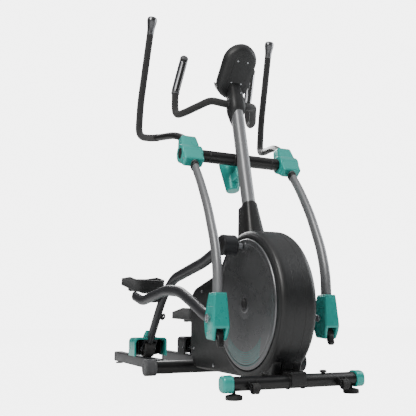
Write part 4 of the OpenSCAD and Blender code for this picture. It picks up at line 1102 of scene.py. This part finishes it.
def rollers():
    """Rollers and their guards, teal on the right and dark on the left."""
    for side, at, guard_slot, guard_finish in (("right", ROLLER_RIGHT, "teal_plastic", TEAL),
                                               ("left", ROLLER_LEFT, "charcoal_plastic", CHARCOAL)):
        tyre = lathe([(0.01, -26), (12, -27.6), (15, -26), (17, -20), (34, -20), (36, -26), (39, -28), (43, -28),
                      (46.3, -23), (46.3, 23), (43, 28), (39, 28), (36, 26), (34, 20), (17, 20), (15, 26),
                      (12, 27.6), (0.01, 26)], at, "x", 80, 1.2)
        piece("roller_tyre_" + side, [tyre], "roller_" + side, "black_rubber", RUBBER, ["roller_" + side])
        x, y = at[0], at[1] + 4
        arch = corner_loop([[-87, 75], [-87, 167.5], [87, 167.5], [87, 75], [79, 75], [79, 159], [-79, 159],
                            [-79, 75]], 22, 9) + [x, 0]
        walls = slab(arch, y - 56, y + 56, 2.2, axis="y")
        rear = slab(corner_loop([[-82, 76], [-82, 162], [82, 162], [82, 76]], 20, 9) + [x, 0], y + 51, y + 55.4, 1,
                    axis="y")
        lip = slab(corner_loop([[-88.4, 75], [-88.4, 169], [88.4, 169], [88.4, 75], [84, 75], [84, 164],
                                [-84, 164], [-84, 75]], 22, 9) + [x, 0], y - 57, y - 51, 1.2, axis="y")
        collar = section_rows([(150, 24, 20, 30), (172, 24, 19, 27), (190, 20, 14, 20), (204, 15, 8, 12)], 3.0, 48)
        collar = moved(collar, (x, y - 26, 0))
        piece("roller_guard_shell_" + side, [walls, rear, lip, collar], "pedal_arm_" + side, guard_slot,
              guard_finish, ["roller_guard_" + side], sharp=50)
        ribs = [round_box((x + s * 60 - 1.5, y - 40, 84), (x + s * 60 + 1.5, y + 52, 160), 0.8, 3, "x")
                for s in (-1, 1)]
        liner = slab(corner_loop([[-78, 78], [-78, 158], [78, 158], [78, 78]], 16, 9) + [x, 0], y + 47, y + 51.6, 1,
                     axis="y")
        piece("roller_guard_liner_" + side, [*ribs, liner], "pedal_arm_" + side, "black_plastic", BLACK)
        dots = [screw((x + s * 87, y + a, 112), "x", 5, 2 * s) for s in (-1, 1) for a in (-30, 30)]
        piece("roller_guard_screws_" + side, dots, "pedal_arm_" + side, "bare_steel", STEEL)


floor_frame()
housing()
mast_parts()
console()
bottle_holder()
swing_arms()
yokes()
foot_links()
pedal_arms()
rollers()

for node, finish in {"main_frame": TUBE, "console_face": BLACK, "screen": DISPLAY, "crank_bearings": STEEL,
                     "crank_axle": STEEL, "drive_pulley": BLACK, "drive_belt": RUBBER, "flywheel": STEEL,
                     "flywheel_axle": STEEL, "magnet_bracket": CHARCOAL}.items():
    for place in frame["nodes"][node].material_slots:
        place.material = finish

# ---------------------------------------------------------------- studio and camera

size = 14.0  # half the width of the floor, in metres
FLOOR_GLOW, BACKDROP = 6.4, 5.4  # how white the camera sees the floor and what is behind it
ground = bpy.data.meshes.new("studio_floor")
ground.from_pydata([(-size, -size, 0), (size, -size, 0), (size, size, 0), (-size, size, 0)], [], [(0, 1, 2, 3)])
floor = bpy.data.objects.new("studio_floor", ground)
bpy.context.scene.collection.objects.link(floor)
paper = bpy.data.materials.new("studio_paper")
paper.use_nodes = True
tree = paper.node_tree
tree.nodes["Principled BSDF"].inputs["Base Color"].default_value = (0.8, 0.8, 0.8, 1)
tree.nodes["Principled BSDF"].inputs["Roughness"].default_value = 0.8
glow, mixed, path = (tree.nodes.new("ShaderNode" + kind) for kind in ("Emission", "MixShader", "LightPath"))
share = tree.nodes.new("ShaderNodeMath")
share.operation = "MULTIPLY"
share.inputs[1].default_value = 0.8
glow.inputs["Strength"].default_value = FLOOR_GLOW
tree.links.new(path.outputs["Is Camera Ray"], share.inputs[0])
tree.links.new(share.outputs[0], mixed.inputs[0])
tree.links.new(tree.nodes["Principled BSDF"].outputs[0], mixed.inputs[1])
tree.links.new(glow.outputs[0], mixed.inputs[2])
tree.links.new(mixed.outputs[0], tree.nodes["Material Output"].inputs["Surface"])
ground.materials.append(paper)

world = bpy.data.worlds.new("studio_world")
bpy.context.scene.world = world
world.use_nodes = True
tree = world.node_tree
seen = tree.nodes["Background"]
seen.inputs["Color"].default_value = (1, 1, 1, 1)
seen.inputs["Strength"].default_value = BACKDROP
room, mixed, path, where, parts, ramp = (tree.nodes.new("ShaderNode" + kind) for kind in (
    "Background", "MixShader", "LightPath", "TexCoord", "SeparateXYZ", "ValToRGB"))
# The room that lights the object: dark near the horizon, brighter overhead, so that metal shows bright and dark bands
for at, shade in ((0.0, 0.16), (0.42, 0.03), (0.58, 0.05), (0.8, 0.42), (1.0, 0.5)):
    stop = ramp.color_ramp.elements.new(at)
    stop.color = (shade, shade, shade * 1.02, 1)
ramp.color_ramp.elements.remove(ramp.color_ramp.elements[0])
ramp.color_ramp.elements.remove(ramp.color_ramp.elements[-1])
half = tree.nodes.new("ShaderNodeMapRange")
half.inputs["From Min"].default_value = -1.0
tree.links.new(where.outputs["Generated"], parts.inputs[0])
tree.links.new(parts.outputs["Z"], half.inputs["Value"])
tree.links.new(half.outputs[0], ramp.inputs[0])
tree.links.new(ramp.outputs[0], room.inputs["Color"])
tree.links.new(path.outputs["Is Camera Ray"], mixed.inputs[0])
tree.links.new(room.outputs[0], mixed.inputs[1])
tree.links.new(seen.outputs[0], mixed.inputs[2])
tree.links.new(mixed.outputs[0], tree.nodes["World Output"].inputs["Surface"])


def lamp(name, place, target, power, wide, color=(1, 1, 1)):
    """A square soft light that points from place to target, in metres and watts."""
    light = bpy.data.lights.new(name, "AREA")
    light.energy, light.size, light.color = power, wide, color
    obj = bpy.data.objects.new(name, light)
    obj.location = place
    obj.rotation_mode = "QUATERNION"
    obj.rotation_quaternion = (Vector(target) - Vector(place)).to_track_quat("-Z", "Y")
    bpy.context.scene.collection.objects.link(obj)


lamp("key", (-3.2, -2.6, 3.2), (0, 0, 0.7), 190, 2.2, (1, 0.985, 0.96))
lamp("fill", (3.4, -1.2, 2.2), (0, 0, 0.7), 90, 2.4, (0.96, 0.98, 1))
lamp("back", (0.6, 3.4, 3.0), (0, 0, 0.8), 120, 2.0)

lens = bpy.data.cameras.new("camera")
lens.lens, lens.sensor_width = 50.03, 36.0
camera = bpy.data.objects.new("camera", lens)
bpy.context.scene.collection.objects.link(camera)
bearing, rise = math.radians(23.375), math.radians(10.912)
gaze = Vector((math.sin(bearing) * math.cos(rise), math.cos(bearing) * math.cos(rise), math.sin(rise)))
camera.location = (-1.103, -2.663, 0.261)
camera.rotation_mode = "QUATERNION"
camera.rotation_quaternion = gaze.to_track_quat("-Z", "Y")
bpy.context.scene.camera = camera
